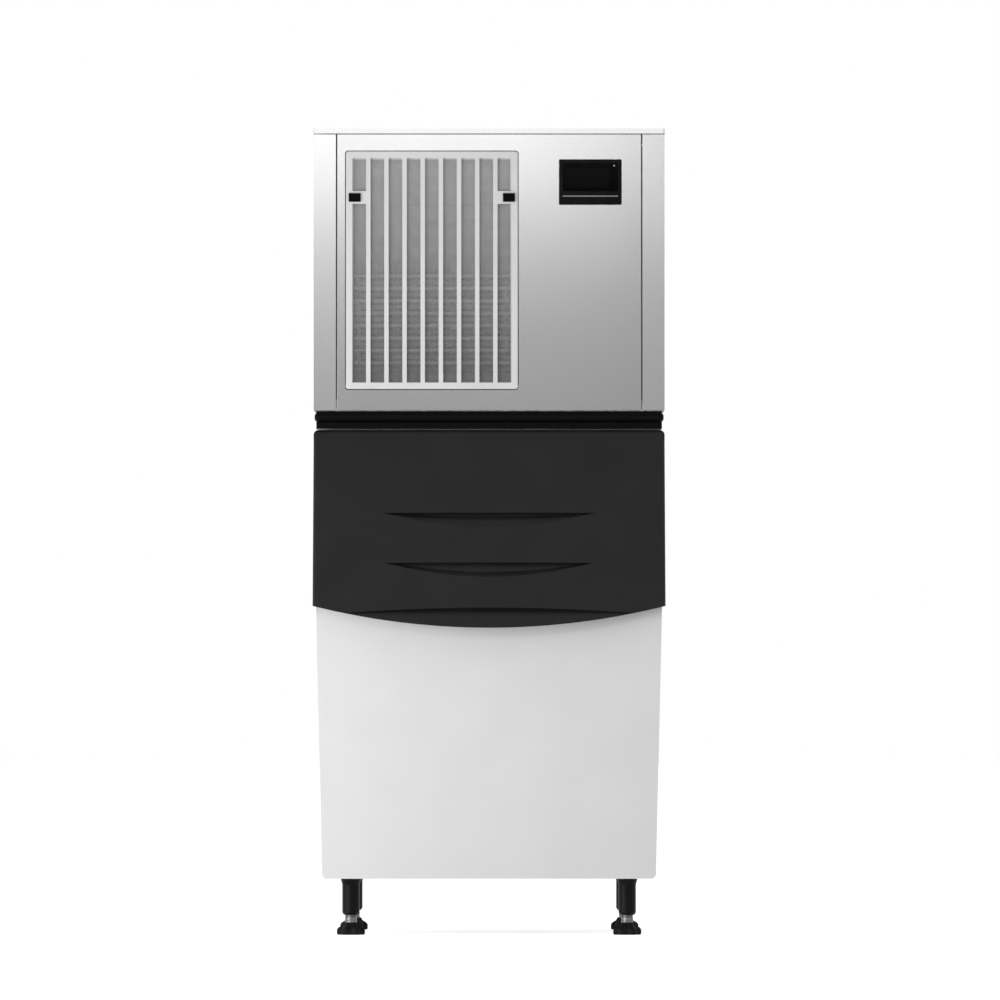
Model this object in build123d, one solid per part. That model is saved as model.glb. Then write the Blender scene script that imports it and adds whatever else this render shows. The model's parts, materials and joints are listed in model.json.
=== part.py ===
from build123d import *
import math
import os

# Ice machine: an ice-making head on an insulated storage bin with a top-hinged door.
# Millimetres. X runs to the viewer's right, Y to the back, Z up from the floor.
# The head's front face is the plane y = 0 while modelling, and at the end every piece is
# moved so that the origin lies under the middle of the whole machine.

# Overall sizes
HEAD_WIDTH = 762.0
HEAD_DEPTH = 620.0
HEAD_HEIGHT = 614.0
LEG_HEIGHT = 122.0
BIN_HEIGHT = 975.0
BIN_SETBACK = 150.0
SEAT_HEIGHT = 38.0

# Clearances
SEAT_GAP = 0.3
PANEL_GAP = 2.0
RUNNING_FIT = 0.05
HINGE_SIDE_GAP = 0.5

# Storage bin
SKIN = 1.5
FOAM = 45.0
LINER = 3.0
KNEE_DROP = 389.0
BIN_TAPER = 13.3
BIN_CORNER = 10.0
LINER_CORNER = 40.0
THROAT_WIDTH = 600.0
THROAT_TOP = 45.0
THROAT_BOTTOM = 370.0
THROAT_CORNER = 45.0
GASKET_WIDTH = 14.0
GASKET_GAP = 4.0
DRAIN_OUTER = 13.35
DRAIN_BODY = 12.6
DRAIN_BORE = 10.5
DRAIN_REACH = 30.0
DRAIN_COLLAR = 16.85
DRAIN_COLLAR_THICKNESS = 4.0
DRAIN_FLOOR_GAP = 4.0

# Moulded seat between the bin and the head
NECK_INSET = 5.6
NECK_SETBACK = 8.0
NECK_HEIGHT = 15.0
NOSE_INSET = 2.0
NOSE_REACH = 12.0
NOSE_HEIGHT = 19.0
NOSE_ROUND = 7.0
SEAT_INSET = 6.0

# Bin door
DOOR_SLOPE = 25.15
DOOR_THICKNESS = 30.0
DOOR_SKIN = 3.0
SKIRT_WALL = 3.5
SKIRT_GAP = 3.8
SKIRT_DEPTH = 45.0
PIVOT_SETBACK = 3.0
PIVOT_DROP = 3.0
DOOR_BOW = 11.0
DOOR_TOP_CORNER = 11.0
DOOR_EDGE_ROUND = 8.0
LIP_DROP = 47.0
LIP_OVERLAP = 3.0
LINER_SHEET = 3.0
PLUG_DEPTH = 20.0
PLUG_GAP = 6.0
GRIP_HALF_WIDTH = 240.0
UPPER_GRIP_AT = 192.0
LOWER_GRIP_AT = 313.0
GRIP_HEIGHT = 33.0
GRIP_DEPTH = 10.0
LIP_GRIP_HALF_WIDTH = 318.0
LIP_GRIP_ARCH = 10.0
LIP_GRIP_DEPTH = 10.0
PIN_RADIUS = 5.0
HINGE_PLATE = 2.5
HINGE_ARM = 60.0
HINGE_ARM_LEAN = 55.0

# Legs and feet
LEG_SIDE_INSET = 82.0
LEG_INSET = 70.0
LEG_RADIUS = 18.9
LEG_TOP_RADIUS = 22.8
LEG_BOTTOM = 43.0
LEG_FLARE = 13.5
LEG_CHAMFER = 5.0
LEG_BORE_DEPTH = 30.0
STEM_RADIUS = 13.0
FOOT_RADIUS = 30.5
FOOT_HEIGHT = 22.0
FOOT_LOBES = 6
FOOT_LOBE_RADIUS = 9.0
FOOT_COLLAR = 5.0
STUD_RADIUS = 8.0
STUD_LENGTH = 22.0
SOCKET_PLATE = 3.0
SOCKET_HALF = 30.0
SOCKET_NUT_RADIUS = 14.0

# Head cabinet
SHEET = 1.2
STRIP_WIDTH = 48.0
REAR_RETURN = 15.0
LID_HEIGHT = 11.0
LID_OVERHANG = 0.7
BASE_SHEET = 1.5
BASE_FLANGE = 25.0
BASE_SETBACK = 13.5
POST_WIDTH = 25.0
PANEL_RETURN = 12.0
WALL_SHEET = 1.5
WALL_X = 80.0
WALL_FLANGE = 15.0
DROP_CORNER = 20.0
DROP_COLLAR = 10.0
LOUVRE_WIDTH = 130.0
LOUVRE_HEIGHT = 13.0
LOUVRE_REACH = 10.0
LOUVRE_PITCH = 26.0
LOUVRE_COLUMNS = 150.0
LOUVRE_MARGIN = 125.0
LOUVRE_RISE = 60.0
SCREW_RADIUS = 4.2
SCREW_HEIGHT = 2.2
SCREW_MARGIN = 40.0
INLET_RADIUS = 13.2
INLET_SIDE = 60.0
FITTING_RISE = 60.0
DRAIN_SIDE = -20.0
DRAIN_RISE = 42.0
GLAND_RADIUS = 10.0
GLAND_BORE = 5.0
GLAND_CAP = 11.0
GLAND_INSET = 70.0

# Air filter
FILTER_CENTRE_X = -124.5
FILTER_WIDTH = 373.0
FILTER_HEIGHT = 516.0
FILTER_BOTTOM = 48.0
FILTER_DEPTH = 14.0
FILTER_PROUD = 1.0
FILTER_RAIL = 14.0
FILTER_CORNER = 5.0
FILTER_BARS = 8
FILTER_BAR_WIDTH = 9.6
FILTER_BAR_DEPTH = 6.0
NET_STRAND = 0.8
NET_PITCH = 8.0
NET_HEM = 3.0
FILTER_PIN_RADIUS = 2.0
LATCH_HEIGHT = 18.5
LATCH_WIDTH = 26.0
LATCH_BELOW_TOP = 100.0
LATCH_PLATE_HEIGHT = 28.0
LATCH_PLATE_WIDTH = 46.0
LATCH_TRAVEL = 8.0
LATCH_KNOB = 4.0
LATCH_PLATE = 3.0
LATCH_STEM = 5.0
LATCH_STEM_INSET = 16.5
LATCH_KNOB_INSET = 6.0
LATCH_TONGUE = 12.0
LATCH_GROOVE = 1.6
LATCH_GROOVE_STEP = 5.0

# Display
DISPLAY_X = 219.8
DISPLAY_WIDTH = 136.4
DISPLAY_HEIGHT = 99.0
DISPLAY_BELOW_TOP = 116.5
DISPLAY_PROUD = 1.5
DISPLAY_CORNER = 2.5
DISPLAY_LAP = 3.0
SCREEN_MARGIN = 8.0
SCREEN_HEIGHT = 62.0
SCREEN_RISE = 11.0
RULE_RISE = 19.0
RULE_HEIGHT = 3.0
CONTROL_DEPTH = 54.0
CONTROL_MARGIN = 7.0

# Refrigeration
COIL_SETBACK = 40.0
COIL_WIDTH = 340.0
COIL_HEIGHT = 234.0
COIL_DEPTH = 44.0
COIL_BOTTOM = 86.0
FIN_PITCH = 8.5
FIN_THICKNESS = 4.2
FIN_SLOT = 9.0
END_PLATE = 3.0
TUBE_RADIUS = 4.76
BEND_PITCH = 54.0
BEND_START = 20.0
COIL_PLATE_LAP = 4.0
FAN_RADIUS = 100.0
FAN_TIP_GAP = 6.0
FAN_HUB_RADIUS = 28.0
FAN_BLADES = 5
FAN_DEPTH = 24.0
FAN_SETBACK = 24.0
FAN_BLADE_THICKNESS = 3.2
SHROUD_RING = 28.0
SHAFT_RADIUS = 4.0
MOTOR_RADIUS = 42.0
MOTOR_LENGTH = 60.0
MOTOR_GAP = 6.0
MOTOR_GROOVE = 2.5
BRACKET_ARM = 16.0
BRACKET_SHEET = 3.0
COMPRESSOR_RADIUS = 85.0
COMPRESSOR_HEIGHT = 260.0
COMPRESSOR_SIDE = 60.5
COMPRESSOR_BACK_GAP = 60.0
COMPRESSOR_PLATE = 200.0
COMPRESSOR_MOUNTS = 160.0
GROMMET_HEIGHT = 15.0
GROMMET_RADIUS = 13.0
GROMMET_NECK = 6.0
DISCHARGE_SIDE = 11.5
DISCHARGE_RISE = 80.0
SUCTION_SIDE = 45.0
SUCTION_RISE = 90.0
PIPE_BEND = 9.0
DRIER_RADIUS = 16.0
DRIER_LENGTH = 110.0
DRIER_START = 120.0

# Ice making
EVAPORATOR_WIDTH = 204.0
EVAPORATOR_HEIGHT = 300.0
EVAPORATOR_BACK = 366.0
EVAPORATOR_BOTTOM = 165.0
CELL_PITCH = 27.5
CELL_WALL = 3.0
CELL_DEPTH = 22.0
EVAPORATOR_PLATE = 3.0
EVAPORATOR_BORDER = 16.0
COIL_RUNS = 7
COIL_MARGIN = 24.0
PIPE_BEHIND = 30.0
PIPE_FROM_END = 40.0
CURTAIN_GAP = 30.0
CURTAIN_SHEET = 3.0
CURTAIN_PIN = 3.0
CURTAIN_DROP = 30.0
CURTAIN_RIB = 4.0
CHEEK = 5.0
DISTRIBUTOR_RADIUS = 10.0
DISTRIBUTOR_WALL = 2.0
DISTRIBUTOR_HOLES = 8
TROUGH_WALL = 3.0
TROUGH_HEIGHT = 80.0
TROUGH_DEPTH = 160.0
TROUGH_ROUND = 22.0
TROUGH_SIDE = 11.0
PUMP_SIDE = 45.0
PUMP_BACK = 50.0
PUMP_PLATE = 3.0
PUMP_PLATE_MARGIN = 16.0
PUMP_VOLUTE_RADIUS = 26.0
PUMP_VOLUTE_LOW = 10.0
PUMP_VOLUTE_HEIGHT = 26.0
PUMP_MOTOR_RADIUS = 34.0
PUMP_MOTOR_HEIGHT = 65.0
PUMP_TUBE_RADIUS = 7.0
PUMP_TUBE_SIDE = 55.0
PUMP_TUBE_BEND = 18.0
FLOAT_INSET = 20.0
FLOAT_BACK = 40.0
FLOAT_PIVOT_SIDE = 15.0
FLOAT_PIVOT_RISE = 7.0
FLOAT_PIN = 2.0
FLOAT_GAP = 18.0
FLOAT_BALL = 36.0
INLET_TUBE_RADIUS = 5.0
INLET_TUBE_RISE = 60.0
INLET_SHANK = 25.0
DROP_FRONT = 90.0
DROP_DEPTH = 180.0

# Worked out from the sizes above
BIN_TOP = LEG_HEIGHT + BIN_HEIGHT
HEAD_BOTTOM = BIN_TOP + SEAT_HEIGHT
HEAD_TOP = HEAD_BOTTOM + HEAD_HEIGHT
LID_BOTTOM = HEAD_TOP - LID_HEIGHT
PANEL_TOP = LID_BOTTOM - PANEL_GAP
BIN_HALF_WIDTH = HEAD_WIDTH / 2 - SKIRT_WALL - SKIRT_GAP
DOOR_HALF_WIDTH = HEAD_WIDTH / 2
ROLL_RADIUS = DOOR_THICKNESS / 2
PIVOT_Y = PIVOT_SETBACK
PIVOT_Z = BIN_TOP - PIVOT_DROP - ROLL_RADIUS
SLOPE = math.radians(DOOR_SLOPE)
DOWN_Y = -math.sin(SLOPE)
DOWN_Z = -math.cos(SLOPE)
OUT_Y = -math.cos(SLOPE)
OUT_Z = math.sin(SLOPE)
BIN_FRONT = -BIN_SETBACK
KNEE_Z = BIN_TOP - KNEE_DROP
SLOPE_OFFSET = ROLL_RADIUS + GASKET_GAP
CAVITY_INSET = SKIN + FOAM + LINER
BASE_TOP = HEAD_BOTTOM + BASE_SHEET
CAVITY_HALF = BIN_HALF_WIDTH - CAVITY_INSET
EVAPORATOR_X = (WALL_X + WALL_SHEET + SEAT_GAP + CAVITY_HALF) / 2
CURTAIN_FRONT = EVAPORATOR_BACK - CELL_DEPTH - EVAPORATOR_PLATE - CURTAIN_GAP - CURTAIN_SHEET
LIP_BOTTOM = KNEE_Z + LIP_OVERLAP - LIP_DROP
SUCTION_AT = (
    EVAPORATOR_BACK + PIPE_BEHIND,
    HEAD_BOTTOM + EVAPORATOR_BOTTOM + EVAPORATOR_HEIGHT - PIPE_FROM_END,
)
LIQUID_AT = (EVAPORATOR_BACK + PIPE_BEHIND, HEAD_BOTTOM + EVAPORATOR_BOTTOM + PIPE_FROM_END)
COIL_END_X = EVAPORATOR_X - EVAPORATOR_WIDTH / 2 + COIL_MARGIN


def door_point(down, out):
    """Y and Z of a point given by its distance down the door's slope and out from the pivot line."""
    return PIVOT_Y + DOWN_Y * down + OUT_Y * out, PIVOT_Z + DOWN_Z * down + OUT_Z * out


def slope_z(out, y):
    """Height at which the sloped plane at this distance out from the pivot meets a given Y."""
    return PIVOT_Z + OUT_Z * out + DOWN_Z * (y - PIVOT_Y - OUT_Y * out) / DOWN_Y


def slope_y(out, z):
    """Y at which the sloped plane at this distance out from the pivot meets a given height."""
    return PIVOT_Y + OUT_Y * out + DOWN_Y * (z - PIVOT_Z - OUT_Z * out) / DOWN_Z


def block(low, high):
    """Box between its lowest and its highest corner."""
    middle = [(a + b) / 2 for a, b in zip(low, high)]
    return Pos(*middle) * Box(*[b - a for a, b in zip(low, high)])


def slab_yz(outline, left, right):
    """Extrude a sketch drawn in Y and Z from one X to another."""
    return extrude(Plane.YZ.offset(left) * outline, right - left)


def slab_xz(outline, front, back):
    """Extrude a sketch drawn in X and Z from one Y to another."""
    return extrude(Plane.XZ.offset(-back) * outline, back - front)


def slab_xy(outline, low, high):
    """Extrude a sketch drawn in X and Y from one height to another."""
    return extrude(Plane.XY.offset(low) * outline, high - low)


def polygon(points):
    """Face bounded by straight lines through the points."""
    return make_face(Polyline(*points, close=True))


def rounded_box(low, high, radius, axis=Axis.Z):
    """Box whose edges along one axis are rounded."""
    body = block(low, high)
    return fillet(body.edges().filter_by(axis), radius)


def pipe(start, end, radius, bore=0.0):
    """Straight round bar or pipe between two points."""
    way = Vector(*end) - Vector(*start)
    plane = Plane(origin=start, z_dir=way)
    bar = extrude(plane * Circle(radius), way.length)
    if bore:
        bar -= extrude(plane * Circle(bore), way.length)
    return bar


def bent_tube(points, bend, radius):
    """Round tube whose straight runs are joined by tangent arcs of one bend radius."""
    path = FilletPolyline(*points, radius=bend)
    return sweep(Plane(origin=path @ 0, z_dir=path % 0) * Circle(radius), path)


def mirrored(piece):
    """The same piece on the other side of the machine's middle plane."""
    return mirror(piece, about=Plane.YZ)


# Storage bin


def bin_form(inset, top):
    """The bin's solid form, moved in from the outside by an inset, up to a given height."""
    out = -SLOPE_OFFSET - inset
    front = BIN_FRONT + inset
    floor = LEG_HEIGHT + inset
    back = HEAD_DEPTH - inset
    side = polygon(
        [
            (back, floor),
            (front, floor),
            (front, slope_z(out, front)),
            (slope_y(out, top), top),
            (back, top),
        ]
    )
    half = BIN_HALF_WIDTH - inset
    foot = half - BIN_TAPER
    corners = [(-foot, floor), (foot, floor), (half, KNEE_Z), (half, top), (-half, top), (-half, KNEE_Z)]
    face = polygon(corners)
    form = slab_yz(side, -half, half) & slab_xz(face, front, back)
    return form


def rounded_form(inset, top, radius):
    """The bin's form with its bottom side edges rounded."""
    form = bin_form(inset, top)
    floor = LEG_HEIGHT + inset
    low = form.edges().filter_by(Axis.Y).filter_by(lambda e: abs(e.center().Z - floor) < 1)
    return fillet(low, radius)


def throat(grow, deep):
    """Rounded passage through the sloped front, square to the slope, widened all round by a growth."""
    middle = (THROAT_TOP + THROAT_BOTTOM) / 2
    y, z = door_point(middle, -SLOPE_OFFSET + 1)
    plane = Plane(origin=(0, y, z), x_dir=(1, 0, 0), z_dir=(0, -OUT_Y, -OUT_Z))
    outline = RectangleRounded(
        THROAT_WIDTH + 2 * grow, THROAT_BOTTOM - THROAT_TOP + 2 * grow, THROAT_CORNER + grow
    )
    return extrude(plane * outline, deep)


def drain_bar(radius, start, end):
    """Round bar between two places along the bin drain's line, just above the liner's floor."""
    z = LEG_HEIGHT + CAVITY_INSET + DRAIN_OUTER + DRAIN_FLOOR_GAP
    return pipe((0, start, z), (0, end, z), radius)


def drain_hole():
    """Bar that cuts the drain's way through the bin's back wall."""
    return drain_bar(DRAIN_BODY + SEAT_GAP, HEAD_DEPTH - 2 * CAVITY_INSET, HEAD_DEPTH + DRAIN_REACH)


def bin_shell():
    """Painted outer skin, open at the top and at the throat."""
    skin = rounded_form(0, BIN_TOP, BIN_CORNER) - rounded_form(SKIN, BIN_TOP + 1, BIN_CORNER - SKIN)
    skin = skin - throat(LINER, 20) - drain_hole()
    for x, y in leg_places():
        skin -= pipe((x, y, LEG_HEIGHT - 1), (x, y, LEG_HEIGHT + SKIN + 1), STUD_RADIUS + SEAT_GAP)
    return skin


def liner_form(inset, top):
    """Form of the moulded liner, with wide corners along the floor's sides."""
    return rounded_form(inset, top, LINER_CORNER - (inset - SKIN - FOAM))


def bin_insulation():
    """Foam between the skin and the liner, with room for the leg sockets."""
    foam = rounded_form(SKIN, BIN_TOP, BIN_CORNER - SKIN) - liner_form(SKIN + FOAM, BIN_TOP + 1)
    foam = foam - throat(LINER, 90) - drain_hole()
    low = LEG_HEIGHT
    for x, y in leg_places():
        half = SOCKET_HALF + SEAT_GAP
        foam -= block((x - half, y - half, low), (x + half, y + half, low + SKIN + SOCKET_PLATE + SEAT_GAP))
        foam -= pipe((x, y, low), (x, y, low + STUD_LENGTH + 1), SOCKET_NUT_RADIUS + SEAT_GAP)
    return foam


def bin_liner():
    """White moulded liner with its throat passage out to the sloped front."""
    hull = liner_form(SKIN + FOAM, BIN_TOP) - liner_form(CAVITY_INSET, BIN_TOP + 1)
    sleeve = throat(LINER, 90) & bin_form(0, BIN_TOP)
    sleeve -= liner_form(SKIN + FOAM, BIN_TOP + 1)
    return (hull + sleeve) - throat(0, 90) - drain_hole()


def opening_gasket():
    """Flat soft seal round the throat on the sloped front."""
    seal = throat(LINER + GASKET_WIDTH, 1 + GASKET_GAP) - throat(LINER + 0.5, 1 + GASKET_GAP)
    shift = GASKET_GAP
    seal = Pos(0, OUT_Y * shift, OUT_Z * shift) * seal
    y, z = door_point(0, -SLOPE_OFFSET)
    slope_face = Plane(origin=(0, y, z), x_dir=(1, 0, 0), z_dir=(0, OUT_Y, OUT_Z))
    y, z = door_point(0, -ROLL_RADIUS - SEAT_GAP)
    door_side = Plane(origin=(0, y, z), x_dir=(1, 0, 0), z_dir=(0, OUT_Y, OUT_Z))
    return split(split(seal, slope_face, keep=Keep.TOP), door_side, keep=Keep.BOTTOM)


def bin_drain_fitting():
    """Drain pipe with a flange inside the liner, a collar behind the bin and a spigot for the hose."""
    inside = HEAD_DEPTH - CAVITY_INSET - SEAT_GAP
    start = inside - DRAIN_COLLAR_THICKNESS
    outside = HEAD_DEPTH + SEAT_GAP
    shoulder = HEAD_DEPTH + DRAIN_COLLAR_THICKNESS
    end = HEAD_DEPTH + DRAIN_REACH
    fitting = drain_bar(DRAIN_BODY, start, end) + drain_bar(DRAIN_COLLAR, start, inside)
    fitting += drain_bar(DRAIN_COLLAR, outside, shoulder) + drain_bar(DRAIN_OUTER, shoulder, end)
    return fitting - drain_bar(DRAIN_BORE, start, end)


def bin_top_frame():
    """Black moulded seat: a neck, a rounded nose that runs round the front and sides, and the seat rim."""
    back = HEAD_DEPTH
    neck_half = DOOR_HALF_WIDTH - NECK_INSET
    nose_half = DOOR_HALF_WIDTH - NOSE_INSET
    rim_half = DOOR_HALF_WIDTH - SEAT_INSET
    nose_low = BIN_TOP + NECK_HEIGHT
    nose_high = nose_low + NOSE_HEIGHT
    neck = block((-neck_half, NECK_SETBACK, BIN_TOP), (neck_half, back, nose_low))
    nose = block((-nose_half, -NOSE_REACH, nose_low), (nose_half, back, nose_high))
    nose = fillet(nose.edges().filter_by(Axis.Z).sort_by(Axis.Y)[:2], NOSE_REACH - 2)
    round_edges = nose.edges().filter_by(lambda e: e.center().Y < back - 1 and abs(e.tangent_at(0.5).Z) < 0.1)
    nose = fillet(round_edges, NOSE_ROUND)
    rim = block((-rim_half, SEAT_INSET, nose_high), (rim_half, back - SEAT_INSET, HEAD_BOTTOM))
    inner_front = slope_y(-SLOPE_OFFSET - CAVITY_INSET, BIN_TOP)
    passage = rounded_box(
        (-CAVITY_HALF, inner_front, BIN_TOP - 1),
        (CAVITY_HALF, back - CAVITY_INSET, HEAD_BOTTOM + 1),
        LINER_CORNER / 2,
    )
    return neck + nose + rim - passage


def leg_places():
    """X and Y of the four legs."""
    near = BIN_FRONT + LEG_INSET
    far = HEAD_DEPTH - LEG_INSET
    half = HEAD_WIDTH / 2 - LEG_SIDE_INSET
    return [(-half, near), (half, near), (-half, far), (half, far)]


def leg_sockets():
    """Plates with weld nuts that lie on the bottom skin inside the foam."""
    low = LEG_HEIGHT + SKIN
    sockets = []
    for x, y in leg_places():
        half = SOCKET_HALF
        plate = block((x - half, y - half, low), (x + half, y + half, low + SOCKET_PLATE))
        hexagon = Pos(x, y) * RegularPolygon(SOCKET_NUT_RADIUS, 6)
        nut = slab_xy(hexagon, low + SOCKET_PLATE, LEG_HEIGHT + STUD_LENGTH)
        hole = pipe((x, y, low - 1), (x, y, LEG_HEIGHT + STUD_LENGTH + 1), STUD_RADIUS + SEAT_GAP / 3)
        sockets.append(plate + nut - hole)
    return sockets


def leg(x, y):
    """Turned leg with a flared top, a threaded stud above it and a bore for the foot's stem."""
    bore_top = LEG_HEIGHT - LEG_BORE_DEPTH
    profile = Polyline(
        (0, LEG_HEIGHT + STUD_LENGTH - 1),
        (STUD_RADIUS, LEG_HEIGHT + STUD_LENGTH - 1),
        (STUD_RADIUS, LEG_HEIGHT),
        (LEG_TOP_RADIUS, LEG_HEIGHT),
        (LEG_TOP_RADIUS - 1, LEG_HEIGHT - 3),
        (LEG_RADIUS, LEG_HEIGHT - LEG_FLARE),
        (LEG_RADIUS, LEG_BOTTOM + LEG_CHAMFER),
        (LEG_RADIUS - LEG_CHAMFER * 0.7, LEG_BOTTOM),
        (STEM_RADIUS + SEAT_GAP, LEG_BOTTOM),
        (STEM_RADIUS + SEAT_GAP, bore_top),
        (0, bore_top),
        close=True,
    )
    return Pos(x, y) * revolve(Plane.XZ * make_face(profile), Axis.Z)


def foot(x, y):
    """Metal stem in a moulded foot with lobes round its rim, turned by hand to level the machine."""
    outline = Circle(FOOT_RADIUS - FOOT_LOBE_RADIUS / 2)
    for place in PolarLocations(FOOT_RADIUS - FOOT_LOBE_RADIUS, FOOT_LOBES):
        outline += place * Circle(FOOT_LOBE_RADIUS)
    pad = slab_xy(outline, 0, FOOT_HEIGHT)
    pad = chamfer(pad.faces().sort_by(Axis.Z)[-1].edges(), 2.5)
    collar = Pos(0, 0, FOOT_HEIGHT) * Cone(
        STEM_RADIUS + FOOT_COLLAR, STEM_RADIUS + 1, FOOT_COLLAR, align=(Align.CENTER, Align.CENTER, Align.MIN)
    )
    stem = pipe((0, 0, FOOT_HEIGHT), (0, 0, LEG_HEIGHT - LEG_BORE_DEPTH - SEAT_GAP), STEM_RADIUS)
    return Pos(x, y) * (pad + collar + stem)


# Bin door


def door_section(down, bow, half, out_low, out_high, corner):
    """Section of the door square to its slope: straight back, front bowed out, rounded front corners."""
    front = ThreePointArc((half, out_high), (0, out_high + bow), (-half, out_high)) if bow else Line(
        (half, out_high), (-half, out_high)
    )
    back = Polyline((-half, out_high), (-half, out_low), (half, out_low), (half, out_high))
    face = make_face(front + back)
    if corner:
        face = fillet(face.vertices().sort_by(Axis.Y)[-2:], corner)
    y, z = door_point(down, 0)
    return Plane(origin=(0, y, z), x_dir=(1, 0, 0), z_dir=(0, DOWN_Y, DOWN_Z)) * face


def door_length():
    """Distance down the slope that reaches past the door's lowest point."""
    return (PIVOT_Z - LIP_BOTTOM) / math.cos(SLOPE) + DOOR_THICKNESS


def door_mass(inset):
    """The door's bowed body, straight at the hinge and bowed most at the bottom, moved in by an inset."""
    low = -SKIRT_DEPTH - 2 * DOOR_THICKNESS
    half = DOOR_HALF_WIDTH - (SKIRT_WALL if inset else 0)
    corner = DOOR_EDGE_ROUND - inset
    long = door_length()
    start = door_section(0, 0.4, half, low, ROLL_RADIUS - inset, corner)
    end = door_section(long, DOOR_BOW, half, low, ROLL_RADIUS - inset, corner)
    return loft([start, end], ruled=True)


def door_outline(inset):
    """Front view of the door: rounded top corners and an arc below, with room beside and above its edges."""
    half = DOOR_HALF_WIDTH - inset
    top = PIVOT_Z + ROLL_RADIUS - min(inset, DOOR_SKIN)
    low = LIP_BOTTOM + inset
    wide = half + DOOR_THICKNESS
    high = top + DOOR_THICKNESS
    arc_radius = (half**2 + LIP_DROP**2) / (2 * LIP_DROP)
    wide_low = low + arc_radius - math.sqrt(arc_radius**2 - wide**2)
    arc = ThreePointArc((wide, wide_low), (0, low), (-wide, wide_low))
    rest = Polyline((-wide, wide_low), (-wide, high), (wide, high), (wide, wide_low))
    face = make_face(arc + rest)
    corner = max(DOOR_TOP_CORNER - 2 * inset, DOOR_SKIN)
    size = corner + DOOR_THICKNESS
    for side in (-1, 1):
        square = Pos(side * size / 2, size / 2) * Rectangle(size, size)
        face -= Pos(side * (half - corner), top - corner) * (square - Circle(corner))
    return slab_xz(face, BIN_FRONT - 4 * DOOR_THICKNESS, 2 * DOOR_THICKNESS)


def skirt_side():
    """Side view of the door with its skirts, which grow deeper towards the bottom."""
    long = door_length()
    back = -ROLL_RADIUS - SKIRT_DEPTH
    corners = [(0, -ROLL_RADIUS), (long, back), (long, 4 * DOOR_THICKNESS), (0, 4 * DOOR_THICKNESS)]
    wide = DOOR_HALF_WIDTH + DOOR_THICKNESS
    return slab_yz(polygon([door_point(s, n) for s, n in corners]), -wide, wide)


def roll(radius, half):
    """Rounded top edge of the door about the pivot line."""
    return pipe((-half, PIVOT_Y, PIVOT_Z), (half, PIVOT_Y, PIVOT_Z), radius)


def face_plane(out):
    """Plane along the door's face with its Y up the slope."""
    y, z = door_point(0, out)
    return Plane(origin=(0, y, z), x_dir=(1, 0, 0), z_dir=(0, OUT_Y, OUT_Z))


def lens(half, top, sag):
    """Outline with a straight top and an arc below."""
    line = Line((-half, top), (half, top))
    arc = ThreePointArc((half, top), (0, top - sag), (-half, top))
    return make_face(line + arc)


def grip_recess(down, floor_sag, grow):
    """Lens-shaped finger recess: deepest under its straight top edge, its floor rising to the lower arc."""
    bow = DOOR_BOW * down / door_length()
    face = ROLL_RADIUS + bow
    rise = 6.0
    half = GRIP_HALF_WIDTH + 2 * grow
    slope = (GRIP_HEIGHT - floor_sag) / GRIP_DEPTH
    mouth = face_plane(face + rise) * lens(
        half + 4 * rise, -down + grow, GRIP_HEIGHT + slope * rise + 2 * grow
    )
    floor = face_plane(face - GRIP_DEPTH - grow) * lens(half * 0.8, -down + grow, floor_sag + 2 * grow)
    return loft([floor, mouth], ruled=True)


def lip_recess(grow):
    """Hollow above the bottom edge that leaves a pull lip: its floor slopes out to the edge."""
    top = (PIVOT_Z + (ROLL_RADIUS + DOOR_BOW) * OUT_Z - LIP_BOTTOM - LIP_DROP + LIP_OVERLAP) / math.cos(SLOPE)
    face = ROLL_RADIUS + DOOR_BOW * top / door_length()
    half = LIP_GRIP_HALF_WIDTH + grow
    end = top + 2 * LIP_DROP
    corner = -top - LIP_GRIP_ARCH + grow
    upper = ThreePointArc((-half, corner), (0, -top + grow), (half, corner))
    lower = Polyline((half, corner), (half, -end), (-half, -end), (-half, corner))
    prism = extrude(face_plane(-ROLL_RADIUS) * make_face(upper + lower), 4 * DOOR_THICKNESS)
    rim = face + 1
    fall = (LIP_DROP + LIP_OVERLAP) / math.cos(SLOPE)
    corners = [
        (top - grow, face - LIP_GRIP_DEPTH - grow),
        (top + fall, rim - grow),
        (end, rim - grow),
        (end, 3 * DOOR_THICKNESS),
        (top - grow, 3 * DOOR_THICKNESS),
    ]
    wedge = slab_yz(polygon([door_point(s, n) for s, n in corners]), -half, half)
    return prism & wedge


def recesses(grow):
    """The two finger recesses and the hollow of the pull lip."""
    return [
        grip_recess(UPPER_GRIP_AT, 5.0, grow),
        grip_recess(LOWER_GRIP_AT, 18.0, grow),
        lip_recess(grow),
    ]


def door_hollow():
    """Space inside the door's skin, open to the back, with the recesses left standing in it."""
    outline = door_outline(SKIRT_WALL)
    edge = roll(ROLL_RADIUS - DOOR_SKIN, DOOR_HALF_WIDTH - SKIRT_WALL) & outline
    hollow = (door_mass(DOOR_SKIN) & outline) + edge
    for recess in recesses(DOOR_SKIN):
        hollow -= recess
    return hollow


def door_shell(hollow):
    """Black moulded door skin with side skirts, finger recesses and a pull lip."""
    outline = door_outline(0)
    shell = (door_mass(0) & skirt_side() & outline) + (roll(ROLL_RADIUS, DOOR_HALF_WIDTH) & outline)
    for recess in recesses(0):
        shell -= recess
    shell -= hollow
    half = DOOR_HALF_WIDTH - SKIRT_WALL
    reach = 2 * ROLL_RADIUS
    corners = [(0, 0), (0, -reach), (-reach, -reach), (-reach, 0)]
    shell -= slab_yz(polygon([door_point(s, n) for s, n in corners]), -half, half)
    shell -= block((-half, BIN_FRONT - GASKET_GAP, LEG_HEIGHT), (half, 0, KNEE_Z + DOOR_THICKNESS))
    shell -= roll(PIN_RADIUS + RUNNING_FIT, DOOR_HALF_WIDTH + 1)
    return shell


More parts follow.
